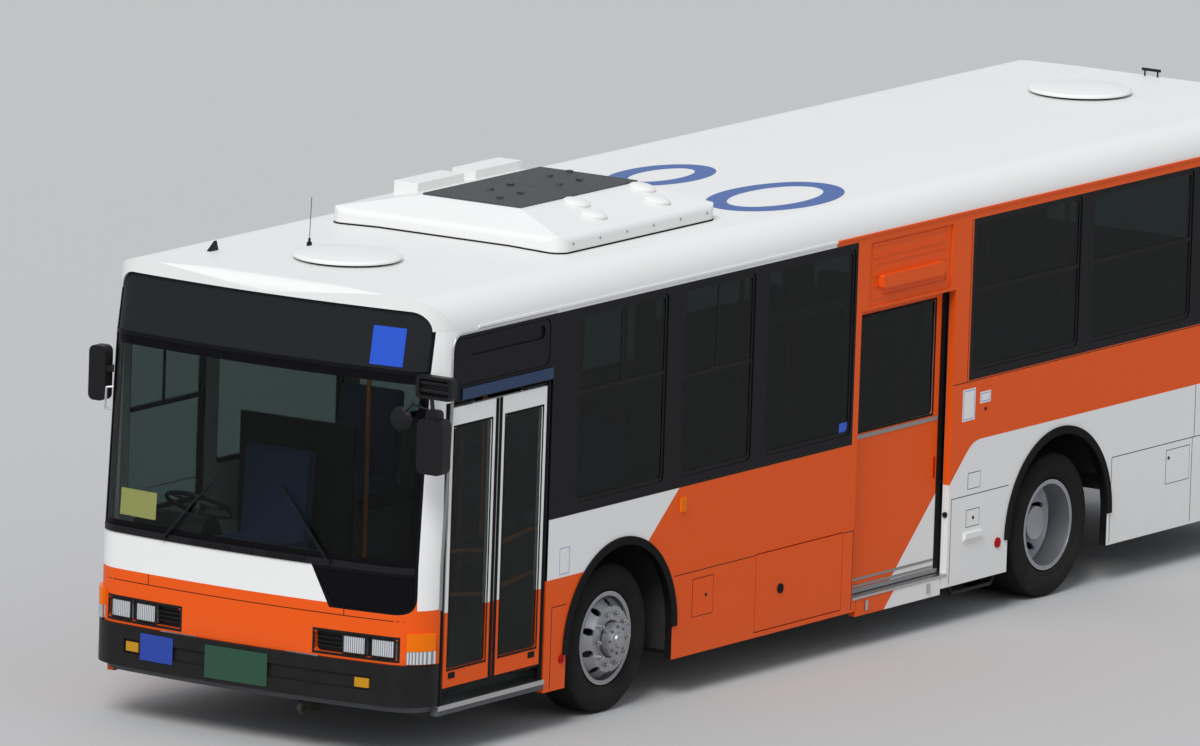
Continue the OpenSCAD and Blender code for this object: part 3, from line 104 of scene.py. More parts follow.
class BusSizes(bpy.types.PropertyGroup):
    """Sizes of the trim that is added to the frame"""
    seam_w: bpy.props.FloatProperty(
        name="Seam width", description="Width of the dark joints between panels",
        default=0.005, min=0.001, max=0.02, unit="LENGTH", subtype="DISTANCE")
    nut_count: bpy.props.IntProperty(
        name="Wheel nuts", description="Nuts round a hub", default=10, min=4, max=12)
    nut_circle: bpy.props.FloatProperty(
        name="Nut circle radius", description="Radius of the circle the nuts stand on",
        default=0.1675, min=0.1, max=0.2, unit="LENGTH", subtype="DISTANCE")
    pod_screws: bpy.props.IntProperty(
        name="Roof unit screws", description="Screws along a side of the roof unit",
        default=6, min=2, max=20)


def colours():
    """The colours that stand in the sidebar."""
    return bpy.context.scene.bus_colours


def sizes():
    """The sizes that stand in the sidebar."""
    return bpy.context.scene.bus_sizes


# Road dust: scale and detail of its noise, contrast, and the most that it covers
DUST_SCALE = 9.0
DUST_DETAIL = 6.0
DUST_CONTRAST = 1.6
DUST_LIMIT = 0.9


class Recipe:
    """One material, with short calls for the shader nodes that colour it."""

    def __init__(self, name, colour, rough=0.5, metal=0.0, shine=0.5):
        self.mat = bpy.data.materials.new(name)
        self.mat.use_nodes = True
        self.nodes = self.mat.node_tree.nodes
        self.links = self.mat.node_tree.links
        self.shader = self.nodes["Principled BSDF"]
        self.put("Base Color", (*colour, 1.0))
        self.put("Roughness", rough)
        self.put("Metallic", metal)
        self.put("Specular IOR Level", shine)

    def put(self, socket, value):
        """Sets one of the shader's sockets to a constant or to another node's output."""
        self.feed(self.shader.inputs[socket], value)

    def feed(self, socket, value):
        """Sets a socket to a constant, or links it to another node's output."""
        if isinstance(value, bpy.types.NodeSocket):
            self.links.new(value, socket)
        else:
            socket.default_value = value

    def number(self, operation, *values):
        """One step of arithmetic on numbers or other nodes' outputs."""
        node = self.nodes.new("ShaderNodeMath")
        node.operation = operation
        for socket, value in zip(node.inputs, values):
            self.feed(socket, value)
        return node.outputs[0]

    def plus(self, a, b):
        return self.number("ADD", a, b)

    def minus(self, a, b):
        return self.number("SUBTRACT", a, b)

    def times(self, a, b):
        return self.number("MULTIPLY", a, b)

    def size(self, a):
        return self.number("ABSOLUTE", a)

    def over(self, a, b):
        return self.number("GREATER_THAN", a, b)

    def under(self, a, b):
        return self.number("LESS_THAN", a, b)

    def all_of(self, *masks):
        out = masks[0]
        for mask in masks[1:]:
            out = self.times(out, mask)
        return out

    def any_of(self, *masks):
        out = masks[0]
        for mask in masks[1:]:
            out = self.number("MAXIMUM", out, mask)
        return out

    def round_max(self, a, b, radius):
        """The larger of a and b, smoothed where they meet; it turns a corner into an arc."""
        return self.number("SMOOTH_MAX", a, b, radius)

    def blend(self, mask, a, b):
        """Colour a where mask is 0 and colour b where it is 1."""
        node = self.nodes.new("ShaderNodeMix")
        node.data_type = "RGBA"
        self.feed(node.inputs[0], mask)
        for socket, colour in zip(node.inputs[6:8], (a, b)):
            is_node = isinstance(colour, bpy.types.NodeSocket)
            self.feed(socket, colour if is_node else (*colour, 1.0))
        return node.outputs[2]

    def place(self):
        """The point's x, y and z in the model's frame."""
        where = self.nodes.new("ShaderNodeTexCoord")
        parts = self.nodes.new("ShaderNodeSeparateXYZ")
        self.links.new(where.outputs["Object"], parts.inputs[0])
        return parts.outputs

    def grain(self, scale, detail):
        """Noise in the model's own space."""
        where = self.nodes.new("ShaderNodeTexCoord")
        noise = self.nodes.new("ShaderNodeTexNoise")
        noise.inputs["Scale"].default_value = scale
        noise.inputs["Detail"].default_value = detail
        self.links.new(where.outputs["Object"], noise.inputs["Vector"])
        return noise.outputs["Fac"]

    def bump(self, height, strength, distance=0.002):
        """Relief from a height, without moving the surface."""
        node = self.nodes.new("ShaderNodeBump")
        node.inputs["Strength"].default_value = strength
        node.inputs["Distance"].default_value = distance
        self.links.new(height, node.inputs["Height"])
        self.links.new(node.outputs[0], self.shader.inputs["Normal"])

    def dusty(self, colour, top_z=0.9, most=0.35):
        """The colour with road dust that thins out upwards to top_z."""
        z = self.place()[2]
        low = self.minus(1.0, self.number("DIVIDE", z, top_z))
        low = self.number("MAXIMUM", low, 0.0)
        speckle = self.times(self.grain(DUST_SCALE, DUST_DETAIL), DUST_CONTRAST)
        mask = self.times(self.times(low, speckle), most)
        return self.blend(self.number("MINIMUM", mask, DUST_LIMIT), colour, colours().dust)


# Livery lines, with x counted from the front axle
BELT_FRONT_Z = 1.372
BELT_REAR_Z = 1.600
BAND_TOP_Z = 2.690
REAR_BAND_TOP_Z = 2.665
SPLIT_Z = 0.980
LEAF_SPLIT_Z = 0.939
STRIPE_Z = 1.195
STRIPE_FOOT = (-3.34, 0.38)
STRIPE_SLOPE = -1.0625
STRIPE_ROUND = 0.10
FRONT_DIAGONAL = (-0.27, 1.041)
FRONT_SLOPE = -1.173
BLACK_BAND_END_X = -2.715
REAR_BAND_START_X = -4.125
ROOF_ORANGE_X = -2.45
NOSE_WHITE_Z = 0.975
NOSE_DIAGONAL = (0.598, 0.978)
NOSE_SLOPE = -0.525
DOOR_JAMB_X = 0.866
DOOR_HEAD_Z = 2.275
# Lower and upper edge of the blue drip rail, and how far it stands off the wall at least
DRIP_RAIL_Z = (2.279, 2.351)
DRIP_RAIL_OUT = 0.004
HEADER_END_X = 2.040
HEADER_ROUND = 0.14
# White corner post from this y outwards
POST_Y = 1.180
# Black round the small window low in the door side's corner
PEEP_ROUND = 0.16
PEEP_EDGE = 0.012
WALL_T = 0.050
SCREEN_Z = 1.250
DIVIDER_Z = 2.480
PEEP_FOOT_Z = 0.945
GLASS_HALF_W = 1.165
# Black printed edge of the windscreen, and the deeper one at its head
FRIT = 0.035
HEAD_FRIT = 0.081
ARCH_R = 0.6225
WHEELHOUSE = 0.66
WHEELHOUSE_Y = 0.52
LIVERY_ROUGH = 0.36
LIVERY_SHINE = 0.10
SCREEN_TINT = (0.66, 0.75, 0.72)
PRINT_BLACK = (0.005, 0.005, 0.006)
PLATE_GREEN = (0.010, 0.060, 0.032)
PLATE_BLUE = (0.010, 0.045, 0.330)
PERMIT_PLATE_Y = -0.5
# Painted shade: near black for the floor deck under and inside the wheelhouses
WHEELHOUSE_PAINTED_SHADE = (0.018, 0.018, 0.018)
FOG_LAMP_TOP_Z = 0.60
LENS_FLUTES = 420.0
MESH_PITCH = 260.0
# Lower than real glass, for panes that mirror dark ground rather than a pale studio
GLASS_IOR = 1.18
# Under the low floor, and behind and under the high rear floor, the walls are black inside
LOW_FLOOR_Z = 0.345
REAR_FLOOR = (-4.15, 0.755)
MID_DOOR_INNER_Y = HALF_W - 0.076
LEAF_INNER_Y = HALF_W - 0.040


def sloping_line(r, z, foot, slope):
    """Where a straight line through foot, as (place, z), stands at height z."""
    return r.plus(r.times(r.minus(z, foot[1]), slope), foot[0])


def side_paint(name="side_livery", inner_y=HALF_W - WALL_T):
    """Orange body with white stripes and black between the windows, split by diagonals."""
    c = colours()
    r = Recipe(name, c.orange, rough=LIVERY_ROUGH, shine=LIVERY_SHINE)
    x, y, z = r.place()
    x = r.minus(x, FRONT_AXLE_X)
    front_line = sloping_line(r, z, FRONT_DIAGONAL, FRONT_SLOPE)
    stripe_line = sloping_line(r, z, STRIPE_FOOT, STRIPE_SLOPE)
    front_white = r.all_of(r.over(x, front_line), r.over(z, SPLIT_Z), r.under(z, BELT_FRONT_Z))
    # The rear stripe's upper corner is round: a smooth maximum of its two edges
    past_line = r.times(r.minus(x, stripe_line), 1 / math.hypot(1, STRIPE_SLOPE))
    corner = r.round_max(past_line, r.minus(z, STRIPE_Z), STRIPE_ROUND)
    rear_white = r.under(corner, 0.0)
    # The black over the front door ends in a round corner before the white corner post
    header_end = r.round_max(r.minus(x, HEADER_END_X), r.minus(z, BAND_TOP_Z), HEADER_ROUND)
    black_front = r.any_of(r.under(header_end, 0.0),
                           r.all_of(r.over(x, HEADER_END_X - 0.01), r.under(z, DOOR_HEAD_Z)))
    white_rail = r.any_of(r.all_of(r.over(x, ROOF_ORANGE_X), r.over(z, BAND_TOP_Z)),
                          r.all_of(r.over(x, HEADER_END_X - HEADER_ROUND),
                                   r.over(z, DOOR_HEAD_Z)))
    black = r.any_of(
        r.all_of(r.over(x, BLACK_BAND_END_X), r.over(z, BELT_FRONT_Z), r.under(z, BAND_TOP_Z),
                 black_front),
        r.all_of(r.over(x, DOOR_JAMB_X), r.over(z, SPLIT_Z), r.under(z, BAND_TOP_Z), black_front),
        r.all_of(r.under(x, REAR_BAND_START_X), r.over(z, BELT_REAR_Z),
                 r.under(z, REAR_BAND_TOP_Z)))
    drip_rail = r.all_of(r.over(x, DOOR_JAMB_X + 0.01), r.over(z, DRIP_RAIL_Z[0]),
                         r.under(z, DRIP_RAIL_Z[1]), r.over(y, HALF_W + DRIP_RAIL_OUT))
    inside = r.under(r.size(y), inner_y + 0.001)
    above_axle = r.number("MAXIMUM", r.minus(z, AXLE_Z), 0.0)
    unlit = []
    for axle_x in (0.0, REAR_AXLE_X - FRONT_AXLE_X):
        along = r.minus(x, axle_x)
        reach = r.plus(r.times(along, along), r.times(above_axle, above_axle))
        unlit.append(r.under(reach, ARCH_R ** 2))
    paint = r.blend(r.any_of(front_white, rear_white, white_rail), c.orange, c.white)
    paint = r.blend(black, paint, c.window_black)
    paint = r.blend(drip_rail, paint, c.steel_blue)
    paint = r.blend(inside, paint, c.lining)
    below = r.any_of(r.under(z, LOW_FLOOR_Z),
                     r.all_of(r.under(x, REAR_FLOOR[0]), r.under(z, REAR_FLOOR[1])))
    unlit.append(r.all_of(inside, below))
    paint = r.blend(r.any_of(*unlit), paint, c.window_black)
    r.put("Base Color", r.dusty(paint, top_z=0.80, most=0.08))
    return r.mat


def leaf_paint():
    """Leaf of the front door: white above and orange below, with orange hand rails inside."""
    c = colours()
    r = Recipe("leaf_livery", c.white, rough=LIVERY_ROUGH, shine=LIVERY_SHINE)
    _, y, z = r.place()
    paint = r.blend(r.under(z, LEAF_SPLIT_Z), c.white, c.orange)
    r.put("Base Color", r.blend(r.under(y, LEAF_INNER_Y), paint, c.rail_orange))
    return r.mat


def tail_paint():
    """Tail: white with the side's black band and orange rail carried round it."""
    c = colours()
    r = Recipe("tail_livery", c.white, rough=LIVERY_ROUGH, shine=LIVERY_SHINE)
    z = r.place()[2]
    band = r.all_of(r.over(z, BELT_REAR_Z), r.under(z, REAR_BAND_TOP_Z))
    paint = r.blend(r.over(z, STRIPE_Z), c.white, c.orange)
    paint = r.blend(band, paint, c.window_black)
    r.put("Base Color", r.dusty(paint, top_z=1.2, most=0.35))
    return r.mat


def nose_paint():
    """The front panel: orange below, white band above it, black round the corner window."""
    c = colours()
    r = Recipe("nose_livery", c.orange, rough=LIVERY_ROUGH, shine=LIVERY_SHINE)
    _, y, z = r.place()
    diagonal = sloping_line(r, z, NOSE_DIAGONAL, NOSE_SLOPE)
    above = r.over(z, NOSE_WHITE_Z)
    white = r.all_of(above, r.under(z, SCREEN_Z + 0.002),
                     r.any_of(r.under(y, diagonal), r.over(y, POST_Y)))
    glass_edge = r.all_of(r.over(z, SCREEN_Z - 0.002), r.under(r.size(y), POST_Y))
    # Black round the corner window; its lower outer corner is round
    past_y = r.minus(y, POST_Y)
    below = r.minus(PEEP_FOOT_Z, z)
    black_corner = r.all_of(r.under(r.round_max(past_y, below, PEEP_ROUND), 0.0),
                            r.over(y, r.minus(diagonal, PEEP_EDGE)),
                            r.under(z, SCREEN_Z + 0.01))
    post_white = r.over(z, SCREEN_Z)
    paint = r.blend(r.any_of(white, post_white), c.orange, c.white)
    paint = r.blend(r.any_of(glass_edge, black_corner), paint, c.window_black)
    r.put("Base Color", r.dusty(paint, top_z=0.8, most=0.14))
    return r.mat


def screen_paint():
    """Windscreen glass with its black printed edge and the dark corner window."""
    r = Recipe("windscreen_glass", SCREEN_TINT, rough=0.02, shine=0.25)
    _, y, z = r.place()
    reach = r.size(y)
    edge = r.any_of(r.over(reach, GLASS_HALF_W - FRIT), r.under(z, SCREEN_Z + FRIT),
                    r.over(z, DIVIDER_Z - HEAD_FRIT))
    r.put("Base Color", r.blend(edge, SCREEN_TINT, PRINT_BLACK))
    r.put("Transmission Weight", r.minus(1.0, edge))
    r.put("IOR", GLASS_IOR)
    return r.mat


def lamp_paint():
    """Clear lenses above, yellow fog lamps in the bumper below."""
    r = Recipe("lamp_lens", (0.9, 0.9, 0.9), rough=0.10, metal=0.35)
    _, y, z = r.place()
    flutes = r.number("SINE", r.times(y, LENS_FLUTES))
    fog = r.under(z, FOG_LAMP_TOP_Z)
    # Painted shade and highlight: the clear lenses are coloured in dark and light stripes along
    # their flutes
    lens = r.blend(r.plus(r.times(flutes, 0.5), 0.5),
                   (0.20, 0.21, 0.23), (0.78, 0.80, 0.83))
    r.put("Base Color", r.blend(fog, lens, (0.62, 0.30, 0.004)))
    r.bump(flutes, 0.35, 0.003)
    return r.mat


def plate_paint():
    """Blank plates: green, and blue for the permit plate low on the front's right."""
    r = Recipe("plate_colours", PLATE_GREEN, 0.45)
    y = r.place()[1]
    r.put("Base Color", r.blend(r.under(y, PERMIT_PLATE_Y), PLATE_GREEN, PLATE_BLUE))
    return r.mat


def floor_paint():
    """Speckled floor sheet, painted near black as shade under and inside the wheelhouses."""
    r = Recipe("floor_sheet", (0.08, 0.085, 0.09), 0.75)
    x, y, _ = r.place()
    speckle = r.over(r.grain(260.0, 1.0), 0.62)
    sheet = r.blend(speckle, (0.075, 0.080, 0.088), (0.17, 0.17, 0.18))
    # Painted shade: the deck's outer ends by the axles, in the wheelhouses, are painted near black
    outer = r.over(r.size(y), WHEELHOUSE_Y)
    near = r.any_of(*(r.under(r.size(r.minus(x, axle_x)), WHEELHOUSE)
                      for axle_x in (FRONT_AXLE_X, REAR_AXLE_X)))
    r.put("Base Color", r.blend(r.all_of(outer, near), sheet, WHEELHOUSE_PAINTED_SHADE))
    return r.mat


def roof_paint():
    """White roof with faint weather stains."""
    c = colours()
    r = Recipe("roof_white", c.white, rough=LIVERY_ROUGH, shine=LIVERY_SHINE)
    stains = r.times(r.grain(1.3, 8.0), 0.07)
    r.put("Base Color", r.blend(stains, c.white, (0.52, 0.50, 0.45)))
    return r.mat


def plain(name, colour, rough, metal=0.0, dust=0.0, grain_scale=0.0, grain_depth=0.2, shine=0.5):
    """A plain finish, with road dust or a fine grain where asked for."""
    r = Recipe(name, colour, rough, metal, shine)
    if dust:
        r.put("Base Color", r.dusty(colour, top_z=1.3, most=dust))
    if grain_scale:
        r.bump(r.grain(grain_scale, 2.0), grain_depth)
    return r.mat


def glass(name, colour, rough=0.02, through=1.0, shine=0.25):
    """A clear or coloured pane or lens; through is how much light it lets pass."""
    r = Recipe(name, colour, rough, shine=shine)
    r.put("Transmission Weight", through)
    r.put("IOR", GLASS_IOR)
    return r.mat


def mesh_paint():
    """Dark mesh of the roof unit's inlet, drawn by crossed waves as bump and colour."""
    r = Recipe("inlet_mesh", (0.05, 0.05, 0.05), 0.7)
    x, y, _ = r.place()
    across = r.number("SINE", r.times(r.plus(x, y), MESH_PITCH))
    along = r.number("SINE", r.times(r.minus(x, y), MESH_PITCH))
    weave = r.times(across, along)
    r.put("Base Color", r.blend(r.over(weave, 0.0), (0.10, 0.10, 0.105), (0.015, 0.015, 0.018)))
    r.bump(weave, 0.5)
    return r.mat


# Filled by the operators: the materials, and the trees that make copies
FINISHES = {}
TREES = {}


def build_finishes():
    """Makes every material once, under the short names that the pieces ask for."""
    c = colours()
    FINISHES.update(
        side=side_paint(), nose=nose_paint(), door=side_paint("door_livery", MID_DOOR_INNER_Y),
        roof=roof_paint(), leaf=leaf_paint(), tail=tail_paint(), floor=floor_paint(),
        plate=plate_paint(), lamps=lamp_paint(), screen=screen_paint(), mesh=mesh_paint(),
        white=plain("trim_white", c.white, LIVERY_ROUGH, shine=LIVERY_SHINE),
        frame=plain("frame_black", (0.010, 0.010, 0.010), 0.7, dust=0.3, shine=0.1),
        black=plain("window_black", PRINT_BLACK, 0.34, shine=0.10),
        bumper=plain("bumper_black", (0.008, 0.008, 0.009), 0.42, dust=0.05, grain_scale=400.0,
                     shine=0.15),
        plastic=plain("black_plastic", (0.008, 0.008, 0.009), 0.42, grain_scale=500.0, shine=0.20),
        rubber=plain("black_rubber", (0.007, 0.007, 0.008), 0.8, dust=0.05, shine=0.10),
        tyre=plain("tyre_rubber", (0.009, 0.009, 0.010), 0.85, dust=0.08, grain_scale=120.0,
                   shine=0.12),
        rim=plain("rim_silver", (0.36, 0.37, 0.40), 0.36, metal=0.7, dust=0.16),
        steel=plain("bright_steel", (0.55, 0.55, 0.55), 0.3, metal=1.0),
        chrome=plain("bright_trim", (0.72, 0.72, 0.74), 0.16, metal=1.0),
        rail=plain("rail_orange", c.rail_orange, 0.35),
        cast=plain("cast_black", (0.020, 0.020, 0.020), 0.65, dust=0.5, grain_scale=90.0,
                   shine=0.2),
        tank=plain("tank_grey", (0.05, 0.05, 0.055), 0.5, dust=0.6),
        seat=plain("seat_cloth", (0.030, 0.050, 0.130), 0.9, grain_scale=700.0, grain_depth=0.4),
        tint=glass("tinted_glass", c.glass_tint),
        door_glass=glass("door_glass", (0.26, 0.32, 0.31)),
        sign=glass("sign_glass", (0.030, 0.033, 0.036), through=0.4, shine=0.15),
        amber=glass("amber_lens", (0.95, 0.20, 0.006), rough=0.12, through=0.15),
        red=glass("red_lens", (0.50, 0.008, 0.008), rough=0.12, through=0.2),
        clear=glass("clear_lens", (0.90, 0.92, 0.94), rough=0.08, through=0.35),
        blue=plain("roof_blue", c.roof_blue, 0.4, shine=0.3),
        sign_blue=plain("sign_blue", (0.006, 0.075, 0.55), 0.4),
        card=plain("yellow_card", (0.74, 0.60, 0.20), 0.8),
        mirror=plain("mirror_face", (0.85, 0.85, 0.87), 0.04, metal=1.0),
        grey=plain("trim_grey", (0.30, 0.30, 0.30), 0.42, metal=0.6),
        # Near black and dull, for the bay behind the sign glass
        soot=plain("sign_bay", (0.004, 0.004, 0.004), 0.9, shine=0.1),
    )


# Which finish each CAD node wears
NODE_FINISH = {
    "side": ["left_side_wall", "right_side_wall", "emergency_door", "left_service_lid",
             "right_battery_lid", "ramp_lid_panel"],
    "door": ["middle_door"],
    "tail": ["rear_panel", "engine_lid"],
    "nose": ["front_panel"],
    "roof": ["roof_shell", "air_conditioner_cover", "roof_ventilators"],
    "leaf": ["forward_leaf", "rearward_leaf"],
    "bumper": ["front_bumper", "rear_bumper"],
    "screen": ["windscreen"],
    "door_glass": ["forward_leaf_glass", "rearward_leaf_glass"],
    "tint": ["side_glass", "rear_window", "middle_door_glass", "emergency_door_glass"],
    "sign": ["destination_glass"],
    "black": ["window_frames", "forward_door_post", "rearward_door_post"],
    "mesh": ["air_conditioner_grille"],
    "lamps": ["headlamps"],
    "amber": ["amber_lamps"],
    "red": ["tail_lamps"],
    "plastic": ["mirrors", "wipers", "dashboard"],
    "rubber": ["wheel_arch_trims", "air_springs"],
    "rail": ["grab_rails"],
    "seat": ["passenger_seats", "driver_seat"],
    "cast": ["front_axle", "rear_axle", "engine", "left_knuckle", "right_knuckle"],
    "frame": ["chassis_frame"],
    "floor": ["floor_deck"],
    "tank": ["underfloor_tanks"],
    "plate": ["number_plates"],
    "rim": ["front_left_rim", "front_right_rim", "rear_left_rims", "rear_right_rims"],
    "tyre": ["front_left_tyre", "front_right_tyre", "rear_left_tyres", "rear_right_tyres"],
}


def finished(bm, name, finish, body="bus_body", smooth=False):
    """Turns a bmesh into a piece that rides on a body and takes its finish from a slot."""
    bmesh.ops.recalc_face_normals(bm, faces=bm.faces)
    mesh = bpy.data.meshes.new(name)
    bm.to_mesh(mesh)
    bm.free()
    mesh.materials.append(FINISHES[finish])
    for face in mesh.polygons:
        face.use_smooth = smooth
    obj = bpy.data.objects.new(name, mesh)
    bpy.context.scene.collection.objects.link(obj)
    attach(obj, body)
    return obj


def add_block(bm, lo, hi):
    """A box between two corners."""
    centre = (Vector(lo) + Vector(hi)) / 2
    size = [abs(b - a) for a, b in zip(lo, hi)]
    bmesh.ops.create_cube(bm, size=1.0,
                          matrix=Matrix.Translation(centre) @ Matrix.Diagonal((*size, 1.0)))


def add_wedge(bm, corners):
    """A closed block with six sides between four lower and four upper corners."""
    verts = [bm.verts.new(corner) for corner in corners]
    for face in ((0, 1, 2, 3), (4, 5, 6, 7), (0, 1, 5, 4), (1, 2, 6, 5), (2, 3, 7, 6),
                 (3, 0, 4, 7)):
        bm.faces.new([verts[i] for i in face])


def add_rod(bm, a, b, r, sides=12):
    """A closed cylinder from a to b."""
    a, b = Vector(a), Vector(b)
    turn = (b - a).to_track_quat("Z", "Y").to_matrix().to_4x4()
    bmesh.ops.create_cone(bm, cap_ends=True, segments=sides, radius1=r, radius2=r,
                          depth=(b - a).length, matrix=Matrix.Translation((a + b) / 2) @ turn)


def add_path(bm, points, r, sides=10):
    """Rods end to end with balls at the bends."""
    for a, b in zip(points, points[1:]):
        add_rod(bm, a, b, r, sides)
    for p in points[1:-1]:
        bmesh.ops.create_uvsphere(bm, u_segments=sides, v_segments=6, radius=r,
                                  matrix=Matrix.Translation(p))


def add_lathe(bm, profile, centre, axis, sides=64):
    """Turns the closed profile of (radius, along) round an axis through centre."""
    turn = Vector(axis).to_track_quat("Z", "Y").to_matrix()
    rings = []
    for k in range(sides):
        angle = 2 * math.pi * k / sides
        out = Vector((math.cos(angle), math.sin(angle), 0))
        rings.append([bm.verts.new(Vector(centre) + turn @ (out * r + Vector((0, 0, h))))
                      for r, h in profile])
    count = len(profile)
    for k in range(sides):
        here, there = rings[k], rings[(k + 1) % sides]
        for i in range(count):
            j = (i + 1) % count
            bm.faces.new((here[i], here[j], there[j], there[i]))


# The front in plan is a shallow bow with round corners; the panes above it lean back
BOW_R = 8.0
CORNER_R = 0.25
CORNER_Y = HALF_W - CORNER_R
CORNER_X = FRONT_X - BOW_R + math.sqrt((BOW_R - CORNER_R) ** 2 - CORNER_Y ** 2)
BOW_END_Y = BOW_R * CORNER_Y / (BOW_R - CORNER_R)
SCREEN_LEAN = math.tan(math.radians(3.3))
SIGN_LEAN = math.tan(math.radians(9.5))


def bow_x(y):
    """Where the bowed front's skin stands at y below the windscreen."""
    y = abs(y)
    if y > BOW_END_Y:
        return CORNER_X + math.sqrt(max(CORNER_R ** 2 - (y - CORNER_Y) ** 2, 0.0))
    return FRONT_X - BOW_R + math.sqrt(BOW_R ** 2 - y * y)


def skin_x(y, z):
    """The front's skin at y and z, leaning back over the windscreen and the sign glass."""
    x = bow_x(y)
    if z > SCREEN_Z:
        x -= (min(z, DIVIDER_Z) - SCREEN_Z) * SCREEN_LEAN
    if z > DIVIDER_Z:
        x -= (z - DIVIDER_Z) * SIGN_LEAN
    return x


def skin_slab(bm, y0, y1, z0, z1, out, thick, steps=12, z_steps=1):
    """A closed sheet that follows the front's skin; its outer face stands off by out."""
    grids = []
    for off in (out, out - thick):
        grid = []
        for j in range(z_steps + 1):
            z = z0 + (z1 - z0) * j / z_steps
            row = []
            for k in range(steps + 1):
                y = y0 + (y1 - y0) * k / steps
                row.append(bm.verts.new((skin_x(y, z) + off, y, z)))
            grid.append(row)
        grids.append(grid)
    outer, inner = grids
    for j in range(z_steps):
        for k in range(steps):
            for g in grids:
                bm.faces.new((g[j][k], g[j][k + 1], g[j + 1][k + 1], g[j + 1][k]))
    for k in range(steps):
        for j in (0, z_steps):
            bm.faces.new((outer[j][k], outer[j][k + 1], inner[j][k + 1], inner[j][k]))
    for j in range(z_steps):
        for k in (0, steps):
            bm.faces.new((outer[j][k], outer[j + 1][k], inner[j + 1][k], inner[j][k]))


def side_plate(bm, x0, x1, z0, z1, proud=0.002, deep=0.002, side=1, face=None):
    """A flat plate on a side of the body; x counts from the front axle."""
    face = HALF_W if face is None else face
    add_block(bm, (FRONT_AXLE_X + min(x0, x1), side * (face - deep), z0),
              (FRONT_AXLE_X + max(x0, x1), side * (face + proud), z1))


def side_frame(bm, x0, x1, z0, z1, w, proud=0.002, deep=0.002, side=1, face=None):
    """A rectangular frame of flat strips on a side of the body."""
    x0, x1 = min(x0, x1), max(x0, x1)
    for box in ((x0, x1, z0, z0 + w), (x0, x1, z1 - w, z1), (x0, x0 + w, z0 + w, z1 - w),
                (x1 - w, x1, z0 + w, z1 - w)):
        side_plate(bm, *box, proud=proud, deep=deep, side=side, face=face)


def side_disc(bm, cx, cz, r, proud, side=1):
    """A round plate on a side of the body, sunk into the skin at its back."""
    x = FRONT_AXLE_X + cx
    add_rod(bm, (x, side * (HALF_W - 0.004), cz), (x, side * (HALF_W + proud), cz), r, 24)


def copies_tree(name, ring):
    """Geometry nodes: copies of one shape in a ring about an axis, or in a row."""
    tree = bpy.data.node_groups.new(name, "GeometryNodeTree")
    face = tree.interface
    face.new_socket("Shape", in_out="INPUT", socket_type="NodeSocketObject")
    face.new_socket("Count", in_out="INPUT", socket_type="NodeSocketInt")
    face.new_socket("Radius" if ring else "Step", in_out="INPUT",
                    socket_type="NodeSocketFloat" if ring else "NodeSocketVector")
    face.new_socket("Finish", in_out="INPUT", socket_type="NodeSocketMaterial")
    face.new_socket("Mesh", in_out="OUTPUT", socket_type="NodeSocketGeometry")
    new = tree.nodes.new
    source, target = new("NodeGroupInput"), new("NodeGroupOutput")
    shape = new("GeometryNodeObjectInfo")
    place = new("GeometryNodeInstanceOnPoints")
    real, paint = new("GeometryNodeRealizeInstances"), new("GeometryNodeSetMaterial")
    link = tree.links.new
    if ring:
        points = new("GeometryNodeMeshCircle")
        link(source.outputs["Count"], points.inputs["Vertices"])
        link(source.outputs["Radius"], points.inputs["Radius"])
        number, turn = new("GeometryNodeInputIndex"), new("ShaderNodeMath")
        turn.operation = "DIVIDE"
        link(number.outputs[0], turn.inputs[0])
        link(source.outputs["Count"], turn.inputs[1])
        full = new("ShaderNodeMath")
        full.operation = "MULTIPLY"
        full.inputs[1].default_value = 2 * math.pi
        link(turn.outputs[0], full.inputs[0])
        about_z = new("ShaderNodeCombineXYZ")
        link(full.outputs[0], about_z.inputs["Z"])
        link(about_z.outputs[0], place.inputs["Rotation"])
    else:
        points = new("GeometryNodeMeshLine")
        link(source.outputs["Count"], points.inputs["Count"])
        link(source.outputs["Step"], points.inputs["Offset"])
    link(source.outputs["Shape"], shape.inputs["Object"])
    link(points.outputs["Mesh"], place.inputs["Points"])
    link(shape.outputs["Geometry"], place.inputs["Instance"])
    link(place.outputs["Instances"], real.inputs["Geometry"])
    link(real.outputs["Geometry"], paint.inputs["Geometry"])
    link(source.outputs["Finish"], paint.inputs["Material"])
    link(paint.outputs["Geometry"], target.inputs["Mesh"])
    return tree


def copies(bm_shape, name, tree, count, step, finish, where, body="bus_body"):
    """Runs a tree of copies, applies the result and puts it in place as one plain piece."""
    template_mesh = bpy.data.meshes.new(name + "_shape")
    bmesh.ops.recalc_face_normals(bm_shape, faces=bm_shape.faces)
    bm_shape.to_mesh(template_mesh)
    bm_shape.free()
    template = bpy.data.objects.new(name + "_shape", template_mesh)
    carrier = bpy.data.objects.new(name + "_carrier", bpy.data.meshes.new(name + "_carrier"))
    for obj in (template, carrier):
        bpy.context.scene.collection.objects.link(obj)
    modifier = carrier.modifiers.new("copies", "NODES")
    modifier.node_group = tree
    keys = {item.name: item.identifier for item in tree.interface.items_tree
            if item.in_out == "INPUT"}
    modifier[keys["Shape"]] = template
    modifier[keys["Count"]] = count
    modifier[keys["Radius" if "Radius" in keys else "Step"]] = step
    modifier[keys["Finish"]] = FINISHES[finish]
    done = carrier.evaluated_get(bpy.context.evaluated_depsgraph_get())
    mesh = bpy.data.meshes.new_from_object(done)
    mesh.name = name
    mesh.transform(where)
    for obj in (carrier, template):
        bpy.data.objects.remove(obj)
    piece = bpy.data.objects.new(name, mesh)
    bpy.context.scene.collection.objects.link(piece)
    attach(piece, body)
    return piece


def round_axis(centre, side):
    """Matrix that stands local +Z along the wheel's outward side at centre."""
    turn = Matrix.Rotation(-math.pi / 2 if side > 0 else math.pi / 2, 4, "X")
    return Matrix.Translation(centre) @ turn


